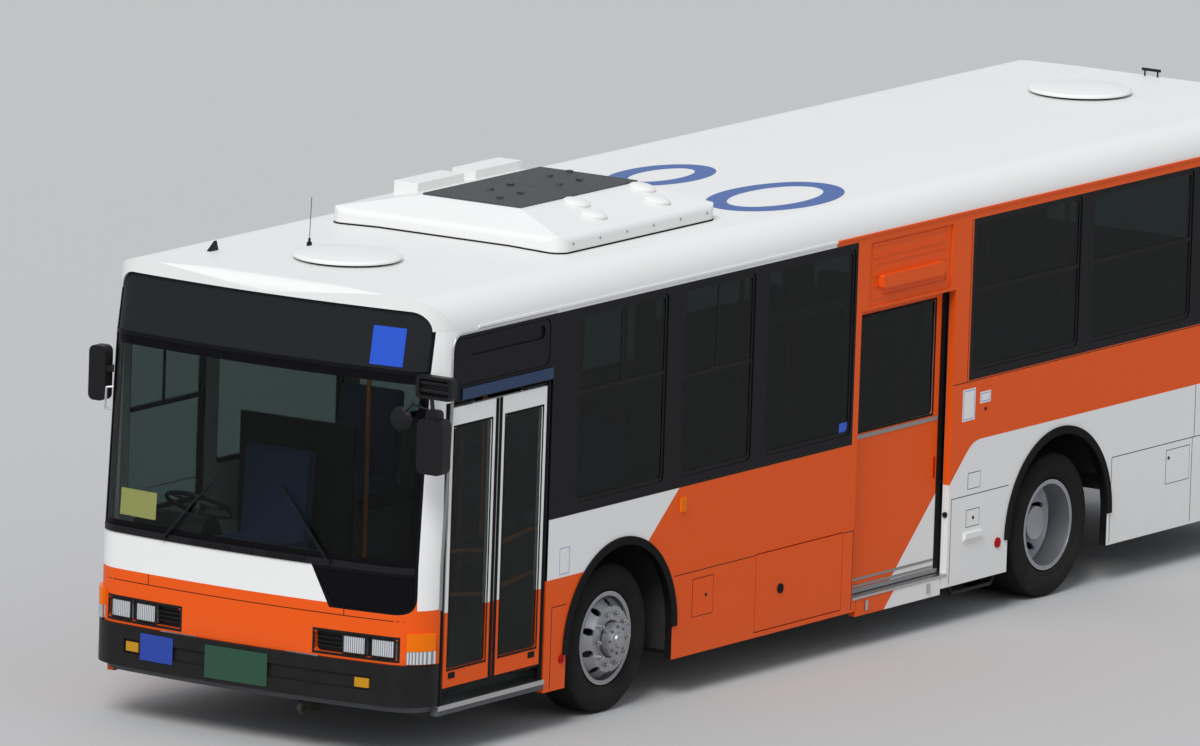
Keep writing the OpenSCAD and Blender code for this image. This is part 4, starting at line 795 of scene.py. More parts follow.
class BUS_OT_finishes(bpy.types.Operator):
    """Build the finishes and put them on the frame's own pieces"""
    bl_idname = "bus.finishes"
    bl_label = "Finishes"

    def execute(self, context):
        build_finishes()
        for finish, nodes in NODE_FINISH.items():
            for node in nodes:
                mesh = frame["nodes"][node].data
                mesh.materials.clear()
                mesh.materials.append(FINISHES[finish])
        TREES["ring"] = copies_tree("ring_of_copies", True)
        TREES["row"] = copies_tree("row_of_copies", False)
        return {"FINISHED"}


# Wheel stations: body, x, the y of each tyre's middle, side
WHEELS = [
    ("front_left_wheel", "front_left_tyre", FRONT_AXLE_X, [1.0275], 1),
    ("front_right_wheel", "front_right_tyre", FRONT_AXLE_X, [-1.0275], -1),
    ("rear_left_wheels", "rear_left_tyres", REAR_AXLE_X, [1.0575, 0.7525], 1),
    ("rear_right_wheels", "rear_right_tyres", REAR_AXLE_X, [-1.0575, -0.7525], -1),
]
TYRE_R = AXLE_Z
TYRE_HALF_W = 0.1375
RIM_R = 0.28575
GROOVE_W = 0.010
GROOVE_DEPTH = 0.012
GROOVES_Y = (-0.068, -0.023, 0.023, 0.068)
# Faces that look sideways more than this are shaded smooth, and the tread is not
TREAD_SLOPE = 0.3


def tyre_profile():
    """Closed section of a tyre as (radius, along): four grooves across the tread."""
    half = TYRE_HALF_W
    points = [(RIM_R + 0.0003, -0.100), (RIM_R + 0.022, -0.100), (RIM_R + 0.030, -0.118),
              (RIM_R + 0.045, -0.127), (RIM_R + 0.050, -0.124), (RIM_R + 0.060, -half + 0.008),
              (TYRE_R - 0.110, -half), (TYRE_R - 0.070, -half + 0.001),
              (TYRE_R - 0.045, -half + 0.006), (TYRE_R - 0.020, -half + 0.016),
              (TYRE_R - 0.004, -half + 0.030)]
    sidewall = list(points)
    edge, floor_edge = GROOVE_W / 2, GROOVE_W / 2 - 0.002
    for at in GROOVES_Y:
        crown = TYRE_R - (0.002 if abs(at) > 0.05 else 0.0)
        points += [(crown, at - edge), (crown - GROOVE_DEPTH, at - floor_edge),
                   (crown - GROOVE_DEPTH, at + floor_edge), (crown, at + edge)]
    outer = [(r, -a) for r, a in reversed(sidewall)]
    inside = [(RIM_R + 0.030, 0.090), (TYRE_R - 0.040, 0.100), (TYRE_R - 0.040, -0.100),
              (RIM_R + 0.030, -0.090)]
    return points + outer + inside


class BUS_OT_tyres(bpy.types.Operator):
    """Tyres with a grooved tread in place of the plain ones"""
    bl_idname = "bus.tyres"
    bl_label = "Tyres"

    def execute(self, context):
        for body, node, x, rows, _ in WHEELS:
            bm = bmesh.new()
            for y in rows:
                add_lathe(bm, tyre_profile(), (x, y, AXLE_Z), (0, 1, 0), 72)
            tyre = finished(bm, node + "_dressed", "tyre", body)
            for face in tyre.data.polygons:
                face.use_smooth = abs(face.normal.y) > TREAD_SLOPE
            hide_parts(node)
        return {"FINISHED"}


# Along a wheel's axis: the disc's face from the tyre's middle, the hub's face from the disc on a
# front and a rear wheel, and the rim's outer lip from the tyre's middle
DISC_OUT = 0.1525
HUB_OUT = {"front": 0.045, "rear": 0.11}
LIP_OUT = 0.1125
# Closed sections as (radius, along)
HUB_CAP = [(0.001, 0.0), (0.098, 0.0), (0.098, 0.004), (0.080, 0.008), (0.074, 0.016),
           (0.052, 0.020), (0.048, 0.032), (0.040, 0.036), (0.001, 0.036)]
HUB_SEAT = [(0.098, 0.0), (0.122, 0.0), (0.122, 0.0012), (0.098, 0.0012)]
RIM_LIP = [(0.2955, -0.001), (0.2995, -0.001), (0.2995, 0.0015), (0.2955, 0.0015)]
FLANGE_BOLTS = 8
FLANGE_CIRCLE = 0.086


class BUS_OT_wheel_nuts(bpy.types.Operator):
    """Nuts, hub caps, flange bolts and bright rim lips of the wheels"""
    bl_idname = "bus.wheel_nuts"
    bl_label = "Wheel nuts"

    def execute(self, context):
        s = sizes()
        for body, _, x, rows, side in WHEELS:
            front = len(rows) == 1
            face_y = rows[0] + side * (DISC_OUT if front else -DISC_OUT)
            hub_y = face_y + side * HUB_OUT["front" if front else "rear"]
            nut = bmesh.new()
            add_rod(nut, (0, 0, 0), (0, 0, 0.022), 0.017, 6)
            add_rod(nut, (0, 0, 0.020), (0, 0, 0.036), 0.010, 10)
            copies(nut, body + "_nuts", TREES["ring"], s.nut_count, s.nut_circle, "steel",
                   round_axis((x, face_y, AXLE_Z), side), body)
            self.turned(body, "_hub_cap", "rim", HUB_CAP, (x, hub_y, AXLE_Z), side, 32)
            self.turned(body, "_hub_seat", "cast", HUB_SEAT,
                        (x, face_y + side * 0.0002, AXLE_Z), side, 48)
            bolt = bmesh.new()
            add_rod(bolt, (0, 0, 0.002), (0, 0, 0.014), 0.010, 6)
            copies(bolt, body + "_flange_bolts", TREES["ring"], FLANGE_BOLTS, FLANGE_CIRCLE,
                   "tank", round_axis((x, hub_y, AXLE_Z), side), body)
            self.turned(body, "_rim_lip", "steel", RIM_LIP,
                        (x, rows[0] + side * LIP_OUT, AXLE_Z), side, 64)
        return {"FINISHED"}

    def turned(self, body, ending, finish, section, centre, side, sides):
        """A piece turned round the wheel's axis."""
        bm = bmesh.new()
        add_lathe(bm, section, centre, (0, side, 0), sides)
        finished(bm, body + ending, finish, body)


class BUS_OT_roof_rings(bpy.types.Operator):
    """Two long blue rings painted on the roof"""
    bl_idname = "bus.roof_rings"
    bl_label = "Roof rings"
    # Rings as middle x from the front axle, middle y, half length and half width
    rings = [(-2.70, -0.265, 0.50, 0.275), (-2.55, 0.70, 0.65, 0.335)]
    # The painted line's width at the ends of a ring, and its share of that at the sides
    stroke = 0.17
    side_share = 0.75

    def execute(self, context):
        bm = bmesh.new()
        steps = 64
        for cx, cy, half_l, half_w in self.rings:
            layers = []
            for lift in (0.0014, 0.0004):
                for inset in (0.0, self.stroke):
                    row = []
                    for k in range(steps):
                        a = 2 * math.pi * k / steps
                        x = FRONT_AXLE_X + cx + (half_l - inset) * math.cos(a)
                        y = cy + (half_w - inset * self.side_share) * math.sin(a)
                        row.append(bm.verts.new((x, y, crown_z(y) + lift)))
                    layers.append(row)
            top_out, top_in, low_out, low_in = layers
            loop = (top_out, top_in, low_in, low_out, top_out)
            for a, b in zip(loop, loop[1:]):
                for k in range(steps):
                    j = (k + 1) % steps
                    bm.faces.new((a[k], a[j], b[j], b[k]))
        finished(bm, "roof_rings", "blue")
        return {"FINISHED"}


# The roof's crown: flat this far from the middle, then down by the drop at the edge
CROWN_FLAT_Y = 0.5
CROWN_DROP = 0.018
CROWN_EDGE_Y = HALF_W - 0.210


def crown_z(y):
    """Height of the roof's crown at y, flat in the middle and falling to the edges."""
    fall = max(0.0, abs(y) - CROWN_FLAT_Y) / (CROWN_EDGE_Y - CROWN_FLAT_Y)
    return ROOF_Z - CROWN_DROP * min(fall, 1.0)


# Dark joints between the panels of a side: x0, x1, z0, z1 from the front axle
LEFT_SEAMS = [
    (-0.63, -1.595, 0.800, 0.800), (-2.655, -2.77, 0.800, 0.800), (-2.77, -2.77, 0.28, 0.800),
    (0.80, 0.635, 0.800, 0.800), (0.80, 0.80, 0.28, 0.800),
    (-3.965, -3.965, 0.28, 0.838), (-3.965, -4.665, 0.838, 0.838),
    (-5.96, -5.96, 0.28, 0.845), (-5.96, -8.28, 0.845, 0.845), (-6.98, -6.98, 0.28, 0.845),
    (-7.00, -7.00, 0.845, 1.19), (-4.105, -4.105, 1.592, 2.665), (-3.94, -8.28, 1.592, 1.592),
    (0.86, -2.71, 1.372, 1.372)]
RIGHT_SEAMS = [
    (-0.63, -1.09, 0.800, 0.800), (-2.06, -4.66, 0.800, 0.800), (-2.79, -2.79, 0.28, 0.800),
    (-3.60, -3.60, 0.28, 0.800), (2.00, 2.00, 0.28, 1.20), (0.80, 0.80, 0.28, 1.372),
    (-5.96, -5.96, 0.28, 0.745), (-6.90, -8.28, 0.845, 0.845), (-6.98, -6.98, 0.28, 0.845),
    (1.95, -4.05, 1.372, 1.372), (-4.09, -5.98, 1.592, 1.592), (-6.88, -8.28, 1.592, 1.592)]
NOSE_SEAM_Z = 0.905
NOSE_SEAM_HALF_W = 1.12
NOSE_SEAMS_Y = (-0.767, 0.709)


class BUS_OT_seams(bpy.types.Operator):
    """Dark joints between the body's panels"""
    bl_idname = "bus.seams"
    bl_label = "Panel seams"

    def execute(self, context):
        half = sizes().seam_w / 2
        for side, seams in ((1, LEFT_SEAMS), (-1, RIGHT_SEAMS)):
            bm = bmesh.new()
            for x0, x1, z0, z1 in seams:
                side_plate(bm, min(x0, x1) - half, max(x0, x1) + half, z0 - half, z1 + half,
                           proud=SKIN, side=side)
            name = "left_panel_seams" if side > 0 else "right_panel_seams"
            finished(bm, name, "black")
        bm = bmesh.new()
        skin_slab(bm, -NOSE_SEAM_HALF_W, NOSE_SEAM_HALF_W, NOSE_SEAM_Z - half,
                  NOSE_SEAM_Z + half, SKIN, 0.003, 60)
        for y in NOSE_SEAMS_Y:
            skin_slab(bm, y - half, y + half, NOSE_SEAM_Z + half, NOSE_WHITE_Z, SKIN, 0.003, 1)
        finished(bm, "nose_panel_seams", "black")
        return {"FINISHED"}


# Small covers on a side: x0, x1, z0, z1 from the front axle
LEFT_COVERS = [(-0.85, -1.10, 0.50, 0.75), (-4.157, -4.312, 0.876, 0.985),
               (-4.150, -4.315, 0.626, 0.742), (-6.65, -6.95, 0.57, 0.80)]
RIGHT_COVERS = [(-0.72, -0.98, 0.48, 0.74), (-2.95, -3.45, 0.42, 0.74),
                (-4.16, -4.36, 0.60, 0.76), (-7.15, -7.95, 0.45, 0.80)]
# Keyholes of the door side: x from the front axle and z
KEYHOLES = [(-1.010, 0.630), (-4.235, 0.684), (-4.345, 1.388), (-6.68, 0.745)]
COVER_RIM = 0.0045
# Red reflectors: side, x, z, radius
REFLECTORS = [(1, -4.550, 0.474, 0.034), (1, 0.679, 0.456, 0.028), (-1, -4.550, 0.474, 0.034),
              (-1, -7.60, 0.474, 0.034), (-1, 0.679, 0.474, 0.034), (1, -7.60, 0.474, 0.034)]
# Blank notices: x0, x1, z0, z1
NOTICES = [(-4.060, -4.215, 1.335, 1.545), (-4.275, -4.405, 1.430, 1.505),
           (0.740, 0.605, 0.990, 1.180)]
NOTICE_MARGIN = 0.010
# How far behind the wall's skin the side panes stand
PANE_IN = 0.010


class BUS_OT_covers(bpy.types.Operator):
    """Small covers, reflectors, blank notices and handles on the sides"""
    bl_idname = "bus.covers"
    bl_label = "Covers"

    def execute(self, context):
        rims, plates = bmesh.new(), bmesh.new()
        for side, covers in ((1, LEFT_COVERS), (-1, RIGHT_COVERS)):
            for x0, x1, z0, z1 in covers:
                side_frame(rims, x0, x1, z0, z1, COVER_RIM, proud=SKIN, side=side)
                side_plate(plates, x0 - COVER_RIM, x1 + COVER_RIM, z0 + COVER_RIM,
                           z1 - COVER_RIM, proud=0.0015, side=side)
        finished(rims, "cover_rims", "black")
        finished(plates, "cover_plates", "side")
        bm = bmesh.new()
        for cx, cz in KEYHOLES:
            side_disc(bm, cx, cz, 0.011, 0.005)
        finished(bm, "keyholes", "black")
        bm = bmesh.new()
        for side, cx, cz, r in REFLECTORS:
            side_disc(bm, cx, cz, r, 0.009, side)
        finished(bm, "side_reflectors", "red")
        frames, cards = bmesh.new(), bmesh.new()
        for x0, x1, z0, z1 in NOTICES:
            side_plate(cards, x0, x1, z0, z1, proud=0.0010)
            side_frame(frames, x0 - NOTICE_MARGIN, x1 + NOTICE_MARGIN, z0 + NOTICE_MARGIN,
                       z1 - NOTICE_MARGIN, 0.0035, proud=0.0014)
        finished(cards, "blank_notices", "white")
        finished(frames, "notice_frames", "sign_blue")
        bm = bmesh.new()
        side_plate(bm, -2.563, -2.660, 1.418, 1.525, proud=0.0010, deep=-0.0002,
                   face=HALF_W - PANE_IN)
        finished(bm, "blank_window_notice", "sign_blue")
        # White grip under the small covers, and the skirt's lifting bar behind the middle door
        bm = bmesh.new()
        side_plate(bm, -4.12, -4.33, 0.555, 0.592, proud=0.022)
        side_plate(bm, -4.12, -4.33, 0.540, 0.556, proud=0.012)
        finished(bm, "skirt_grip", "white")
        bm = bmesh.new()
        x = FRONT_AXLE_X
        add_path(bm, [(x - 4.02, 1.20, 0.275), (x - 4.07, 1.20, 0.200), (x - 4.55, 1.20, 0.200),
                      (x - 4.60, 1.20, 0.275)], 0.013)
        add_rod(bm, (x - 3.932, 1.222, 0.74), (x - 3.920, 1.222, 0.74), 0.018, 20)
        finished(bm, "under_skirt_bar", "plastic")
        bm = bmesh.new()
        side_disc(bm, -1.90, 0.545, 0.032, 0.010)
        finished(bm, "service_lid_cap", "rubber", "left_service_lid")
        return {"FINISHED"}


# The front door's leaves: node, and which end of its box is the seam's edge (0 low, 1 high)
LEAVES = [("forward_leaf", 0), ("rearward_leaf", 1)]
LEAF_Z = (0.459, 2.235)
LEAF_FACE = HALF_W - 0.006
LEAF_GLASS_Z = (0.575, 2.110)
LEAF_SEAL_W = 0.013
# From a leaf's seam edge and from its post edge to its glass
SEAM_BORDER = 0.075
POST_BORDER = 0.045
SEAM_RUBBER = 0.031
# Corner catch: from and to, counted from the post edge, and its heights
CATCH = (0.055, 0.130)
CATCH_Z = (0.512, 0.550)
# Bright strip over the header and down the corner post, from the front axle
STRIP_START_X = 0.86
STRIP_FRONT_X = 2.045
STRIP_TOP_Z = 2.702
STRIP_FOOT_Z = 2.30
STRIP_BEND = 0.10
POST_STRIP_FOOT_Z = 0.965
FRONT_SILL_X = (0.872, 2.083)
JAMB_RUBBERS_X = (0.870, 2.057)


class BUS_OT_front_door(bpy.types.Operator):
    """Rubbers, glass seals and corner catches of the folding leaves, and the door's surround"""
    bl_idname = "bus.front_door"
    bl_label = "Front door trim"

    def execute(self, context):
        for node, seam_end in LEAVES:
            low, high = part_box(node)
            seam = (low[0], high[0])[seam_end]
            post = (high[0], low[0])[seam_end]
            way = 1 if post > seam else -1
            bm = bmesh.new()
            y0, y1 = LEAF_FACE - 0.0005, LEAF_FACE + 0.0025
            add_block(bm, (seam - way * 0.0002, y0, LEAF_Z[0]),
                      (seam + way * SEAM_RUBBER, y1, LEAF_Z[1]))
            a, b = seam + way * SEAM_BORDER, post - way * POST_BORDER
            z0, z1 = LEAF_GLASS_Z
            w = LEAF_SEAL_W
            for x0, x1, lo_z, hi_z in ((a, b, z0 - w, z0), (a, b, z1, z1 + w),
                                       (a - way * w, a, z0 - w, z1 + w),
                                       (b, b + way * w, z0 - w, z1 + w)):
                add_block(bm, (x0, y0, lo_z), (x1, LEAF_FACE + 0.0020, hi_z))
            add_block(bm, (post - way * CATCH[0], y0, CATCH_Z[0]),
                      (post - way * CATCH[1], y1, CATCH_Z[1]))
            finished(bm, node + "_rubbers", "rubber", node)
        x = FRONT_AXLE_X
        bm = bmesh.new()
        y = HALF_W + 0.004
        front, bend = x + STRIP_FRONT_X, STRIP_BEND
        arc = [(front - bend + bend * math.cos(a), y, STRIP_TOP_Z - bend + bend * math.sin(a))
               for a in (math.radians(d) for d in range(90, -1, -15))]
        add_path(bm, [(x + STRIP_START_X, y, STRIP_TOP_Z)] + arc + [(front, y, STRIP_FOOT_Z)],
                 0.007)
        finished(bm, "header_strip", "chrome")
        bm = bmesh.new()
        for z0, z1 in ((POST_STRIP_FOOT_Z, SCREEN_Z), (SCREEN_Z, STRIP_FOOT_Z)):
            corners = []
            for z in (z0, z1):
                at = CORNER_X + 0.004 - max(z - SCREEN_Z, 0.0) * SCREEN_LEAN
                corners += [(at - 0.014, HALF_W - 0.002, z), (at + 0.014, HALF_W - 0.003, z),
                            (at + 0.014, HALF_W + 0.004, z), (at - 0.014, HALF_W + 0.005, z)]
            add_wedge(bm, corners)
        finished(bm, "corner_post_strip", "grey")
        # Sill plate and step edge of the front doorway
        bm = bmesh.new()
        x0, x1 = FRONT_SILL_X
        add_block(bm, (x + x0, 1.10, 0.3502), (x + x1, 1.252, 0.3535))
        add_block(bm, (x + x0, 1.2455, 0.322), (x + x1, 1.252, 0.3502))
        finished(bm, "front_sill_plate", "steel")
        # Black rubber in both jambs
        bm = bmesh.new()
        for x0 in JAMB_RUBBERS_X:
            add_block(bm, (x + x0, 1.1965, 0.485), (x + x0 + 0.0235, 1.2035, 2.205))
        finished(bm, "jamb_rubbers", "rubber")
        return {"FINISHED"}


# Middle door: outer face, its ends from the front axle, and its pane as x0, x1, z0, z1
MID_FACE = HALF_W - 0.070
MID_X = (-3.926, -2.740)
MID_GLASS = (-3.796, -2.870, 1.420, 2.170)
# Rails across the sliding door: lower and upper edge, and how far they stand off
MID_RAILS = [(1.372, 1.398, 0.005), (0.395, 0.411, 0.004), (0.440, 0.456, 0.004)]
MID_SILL_X = (-3.93, -2.78)
RAMP_LATCHES_X = (-2.95, -3.71)
RAMP_HINGES_X = (-3.00, -3.22, -3.47, -3.69)


class BUS_OT_middle_door(bpy.types.Operator):
    """Rails, seals and sill of the sliding door, latches of the ramp flap"""
    bl_idname = "bus.middle_door"
    bl_label = "Middle door trim"

    def execute(self, context):
        x = FRONT_AXLE_X
        bm = bmesh.new()
        for z0, z1, out in MID_RAILS:
            side_plate(bm, MID_X[0] + 0.06, MID_X[1] - 0.03, z0, z1, proud=out, face=MID_FACE)
        side_plate(bm, MID_X[0] + 0.002, MID_X[1] - 0.002, 0.3585, 0.388, proud=0.003, deep=0.020,
                   face=MID_FACE)
        finished(bm, "middle_door_rails", "grey", "middle_door")
        bm = bmesh.new()
        side_plate(bm, MID_X[0] - 0.002, MID_X[0] + 0.052, 0.387, 2.260, proud=0.005,
                   face=MID_FACE)
        x0, x1, z0, z1 = MID_GLASS
        side_frame(bm, x0 - 0.012, x1 + 0.012, z0 - 0.012, z1 + 0.012, 0.013, proud=0.003,
                   face=MID_FACE)
        finished(bm, "middle_door_rubber", "rubber", "middle_door")
        bm = bmesh.new()
        side_plate(bm, MID_X[0] + 0.075, MID_X[0] + 0.090, 0.99, 1.13, proud=0.004, face=MID_FACE)
        finished(bm, "middle_door_handle", "red", "middle_door")
        bm = bmesh.new()
        x0, x1 = MID_SILL_X
        add_block(bm, (x + x0, 1.10, 0.3502), (x + x1, 1.250, 0.3535))
        add_block(bm, (x + x0, 1.2455, 0.338), (x + x1, 1.250, 0.3502))
        finished(bm, "middle_sill_plate", "steel")
        bm = bmesh.new()
        for cx in RAMP_LATCHES_X:
            side_plate(bm, cx - 0.016, cx + 0.016, 0.255, 0.318, proud=0.010)
        for cx in RAMP_HINGES_X:
            add_rod(bm, (x + cx - 0.03, 1.236, 0.2295), (x + cx + 0.03, 1.236, 0.2295), 0.007, 10)
        finished(bm, "ramp_latches", "steel", "ramp_lid")
        return {"FINISHED"}


# Windows as x0, x1, bar's lower edge, head from the front axle, for the sliding panes' bars
LEFT_PANES = [(0.58, -0.46, 2.131, 2.655), (-0.64, -1.49, 2.070, 2.655)]
RIGHT_PANES = [(1.99, 1.13, 1.895, 2.56), (0.99, -0.46, 2.131, 2.655),
               (-0.64, -1.49, 2.131, 2.655), (-1.635, -2.69, 2.131, 2.655),
               (-2.835, -3.99, 2.131, 2.655)]
PANE_BAR_HALF_W = 0.011
PANE_FRAME = 0.028


class BUS_OT_window_bars(bpy.types.Operator):
    """Upright bars where the upper panes slide past each other"""
    bl_idname = "bus.window_bars"
    bl_label = "Window bars"

    def execute(self, context):
        bm = bmesh.new()
        for side, panes in ((1, LEFT_PANES), (-1, RIGHT_PANES)):
            for x0, x1, z0, z1 in panes:
                mid = (x0 + x1) / 2
                side_plate(bm, mid - PANE_BAR_HALF_W, mid + PANE_BAR_HALF_W, z0 + PANE_FRAME,
                           z1 - PANE_FRAME, proud=-0.0085, deep=0.020, side=side)
        finished(bm, "sliding_pane_bars", "black")
        return {"FINISHED"}


# Pads of the two steps in the front panel: y0, y1
STEP_PADS = [(-0.64, -0.37), (0.305, 0.55)]
STEP_Z = 0.6301
# Middles of a lamp bay's two lenses, and the frame round each
LENSES_Y = (0.785, 0.985)
LENS_HALF_W = 0.084
LENS_FRAME = 0.010
BAY_Y = (0.492, 1.100)
# Bay behind the sign glass, blank sign and blank card: y0, y1, z0, z1
SIGN_BAY = (-1.14, 1.14, 2.488, 2.845)
FRONT_SIGN = (0.785, 1.015, 2.500, 2.740)
CARD = (-1.03, -0.74, 1.320, 1.490)
# The corner handle: angle round the corner, reach off the skin and heights
HANDLE_TURN = math.radians(60)
HANDLE_OUT = 0.042
HANDLE_Z = (1.945, 2.090)


class BUS_OT_front_trim(bpy.types.Operator):
    """Step pads, lamp bezels, blank sign and card, sign bay, grab handle and washer jet"""
    bl_idname = "bus.front_trim"
    bl_label = "Front trim"

    def execute(self, context):
        bm = bmesh.new()
        for y0, y1 in STEP_PADS:
            x = min(bow_x(y0), bow_x(y1))
            top = STEP_Z + 0.0034
            add_block(bm, (x + 0.002, y0, STEP_Z), (x + 0.0265, y1, top))
            for k in range(5):
                add_block(bm, (x + 0.004 + 0.0045 * k, y0 + 0.004, top),
                          (x + 0.006 + 0.0045 * k, y1 - 0.004, top + 0.001))
        finished(bm, "step_pads", "steel")
        bm = bmesh.new()
        for s in (1, -1):
            skin_slab(bm, s * 0.506, s * 1.089, 0.6585, 0.7915, -0.040, 0.004, 16)
            # Black frame round the bay, and round each of its two lenses
            for z in (0.644, 0.790):
                skin_slab(bm, s * BAY_Y[0], s * BAY_Y[1], z, z + 0.016, 0.0015, 0.004, 16)
            for y0, y1 in ((BAY_Y[0], 0.508), (1.086, BAY_Y[1])):
                skin_slab(bm, s * y0, s * y1, 0.656, 0.794, 0.0014, 0.004, 1)
            for y in LENSES_Y:
                for z in (0.664, 0.776):
                    skin_slab(bm, s * (y - LENS_HALF_W), s * (y + LENS_HALF_W), z,
                              z + LENS_FRAME, -0.0030, 0.006, 4)
                for edge in (-LENS_HALF_W, LENS_HALF_W - LENS_FRAME):
                    skin_slab(bm, s * (y + edge), s * (y + edge + LENS_FRAME), 0.670, 0.780,
                              -0.0031, 0.006, 1)
            # Dark slot grille at the inner end of each lamp bay
            for k in range(3):
                z = 0.690 + 0.028 * k
                skin_slab(bm, s * 0.520, s * 0.690, z, z + 0.008, -0.018, 0.010, 6)
        # Washer jet under the middle of the windscreen
        skin_slab(bm, -0.045, 0.035, 1.222, 1.232, 0.018, 0.014, 2)
        finished(bm, "lamp_bezels", "plastic")
        # Bay of the destination sign behind its glass, near black and dull, with a blank blue sign
        # before it
        bm = bmesh.new()
        skin_slab(bm, *SIGN_BAY, -0.110, 0.004, 24)
        finished(bm, "sign_bay", "soot")
        bm = bmesh.new()
        skin_slab(bm, *FRONT_SIGN, -0.0035, 0.002, 6, 2)
        finished(bm, "blank_front_sign", "sign_blue")
        bm = bmesh.new()
        skin_slab(bm, *CARD, -0.018, 0.001, 4)
        finished(bm, "blank_card", "card")
        # Handle on the driver's side corner post
        bm = bmesh.new()
        way = Vector((math.cos(HANDLE_TURN), -math.sin(HANDLE_TURN), 0))

        def at(reach, z):
            lean = (z - SCREEN_Z) * SCREEN_LEAN
            return Vector((CORNER_X - lean, -CORNER_Y, z)) + way * (CORNER_R + reach)
        low, high = HANDLE_Z
        add_path(bm, [at(-0.004, low), at(HANDLE_OUT, low + 0.005), at(HANDLE_OUT, high - 0.005),
                      at(-0.004, high)], 0.007)
        finished(bm, "corner_handle", "chrome")
        return {"FINISHED"}


# Silvered faces: from the skin outwards, and their heights
DOOR_SIDE_FACE = ((0.040, 0.195), (1.915, 2.215))
FAR_SIDE_FACE = ((0.035, 0.130), (2.015, 2.315))


class BUS_OT_mirror_faces(bpy.types.Operator):
    """Silvered faces of the outside mirrors"""
    bl_idname = "bus.mirror_faces"
    bl_label = "Mirror faces"

    def execute(self, context):
        bm = bmesh.new()
        for side, x, (out, z) in ((1, FRONT_X - 0.040, DOOR_SIDE_FACE),
                                  (-1, CORNER_X + 0.008, FAR_SIDE_FACE)):
            add_block(bm, (x - 0.0015, side * (HALF_W + out[0]), z[0]),
                      (x + 0.001, side * (HALF_W + out[1]), z[1]))
        finished(bm, "mirror_faces", "mirror")
        return {"FINISHED"}


# Foot of the roof unit: ends from the front axle, half width and corner radius
POD_X = (-1.600, 0.270)
POD_HALF_W = 0.880
POD_CORNER = 0.110
# First screw from the unit's end, and the screws' height over the roof
POD_SCREW_START = 0.15
POD_SCREW_UP = 0.045
# Ventilators' middles from the front axle, and the seal round each
VENTS_X = (1.37, -7.44)
VENT_SEAL = [(0.298, 0.001), (0.304, 0.001), (0.304, 0.0155), (0.298, 0.0155)]
# Feet of the whip aerial and of the fin: x from the front axle and y
WHIP = (1.157, -0.43)
FIN = (1.655, -0.83)
FIN_CORNERS = [(0.045, -0.016, -0.002), (0.045, 0.016, -0.002), (-0.045, 0.016, -0.002),
               (-0.045, -0.016, -0.002), (-0.020, -0.0045, 0.060), (-0.020, 0.0045, 0.060),
               (-0.040, 0.0045, 0.060), (-0.040, -0.0045, 0.060)]


class BUS_OT_roof_trim(bpy.types.Operator):
    """Seal and screws of the roof unit, ventilator seals, whip, fin and tail bracket"""
    bl_idname = "bus.roof_trim"
    bl_label = "Roof trim"

    def execute(self, context):
        x = FRONT_AXLE_X
        bm = bmesh.new()
        outline = []
        for cx, cy, start in ((POD_X[1] - POD_CORNER, POD_HALF_W - POD_CORNER, 0),
                              (POD_X[0] + POD_CORNER, POD_HALF_W - POD_CORNER, 90),
                              (POD_X[0] + POD_CORNER, POD_CORNER - POD_HALF_W, 180),
                              (POD_X[1] - POD_CORNER, POD_CORNER - POD_HALF_W, 270)):
            for k in range(7):
                a = math.radians(start + 15 * k)
                outline.append((x + cx + POD_CORNER * math.cos(a), cy + POD_CORNER * math.sin(a)))
        points = []
        for (x0, y0), (x1, y1) in zip(outline, outline[1:] + outline[:1]):
            cuts = [0.0]
            for flat in (-CROWN_FLAT_Y, CROWN_FLAT_Y):
                if min(y0, y1) < flat < max(y0, y1):
                    cuts.append((flat - y0) / (y1 - y0))
            for t in sorted(cuts):
                yy = y0 + (y1 - y0) * t
                points.append((x0 + (x1 - x0) * t, yy, crown_z(yy) + 0.005))
        add_path(bm, points + points[:1], 0.0055, 8)
        for cx in VENTS_X:
            add_lathe(bm, VENT_SEAL, (x + cx, 0, ROOF_Z), (0, 0, 1), 48)
        finished(bm, "roof_seals", "rubber")
        screw = bmesh.new()
        add_rod(screw, (0, -0.002, 0), (0, 0.003, 0), 0.008, 10)
        count = sizes().pod_screws
        step = (POD_X[1] - POD_X[0] - 2 * POD_SCREW_START) / (count - 1)
        for side, name in ((1, "pod_screws_left"), (-1, "pod_screws_right")):
            spot = Matrix.Translation((x + POD_X[0] + POD_SCREW_START, side * POD_HALF_W,
                                       ROOF_Z + POD_SCREW_UP))
            copies(screw.copy(), name, TREES["row"], count, (step, 0, 0), "grey", spot)
        screw.free()
        bm = bmesh.new()
        foot = Vector((x + WHIP[0], WHIP[1], crown_z(WHIP[1])))
        for low, top, r, sides in (((0, 0, 0), (0, 0, 0.030), 0.017, 16),
                                   ((0, 0, 0.028), (0, 0, 0.055), 0.008, 12),
                                   ((0, 0, 0.050), (-0.012, 0, 0.315), 0.0022, 6)):
            add_rod(bm, foot + Vector(low), foot + Vector(top), r, sides)
        foot = Vector((x + FIN[0], FIN[1], crown_z(FIN[1])))
        add_wedge(bm, [foot + Vector(corner) for corner in FIN_CORNERS])
        rear = REAR_X + 0.115
        for y in (-0.05, 0.05):
            add_rod(bm, (rear, y, ROOF_Z - 0.004), (rear, y, ROOF_Z + 0.045), 0.006, 10)
        add_rod(bm, (rear, -0.07, ROOF_Z + 0.045), (rear, 0.07, ROOF_Z + 0.045), 0.010, 12)
        finished(bm, "roof_aerials", "plastic")
        return {"FINISHED"}


# Domed outlets on the roof unit's door side: x from the front axle and y
OUTLETS = [(-0.60, 0.44), (-0.42, 0.66), (-1.34, 0.44), (-1.15, 0.66)]
OUTLET_R = 0.115
OUTLET_FLATNESS = 0.42
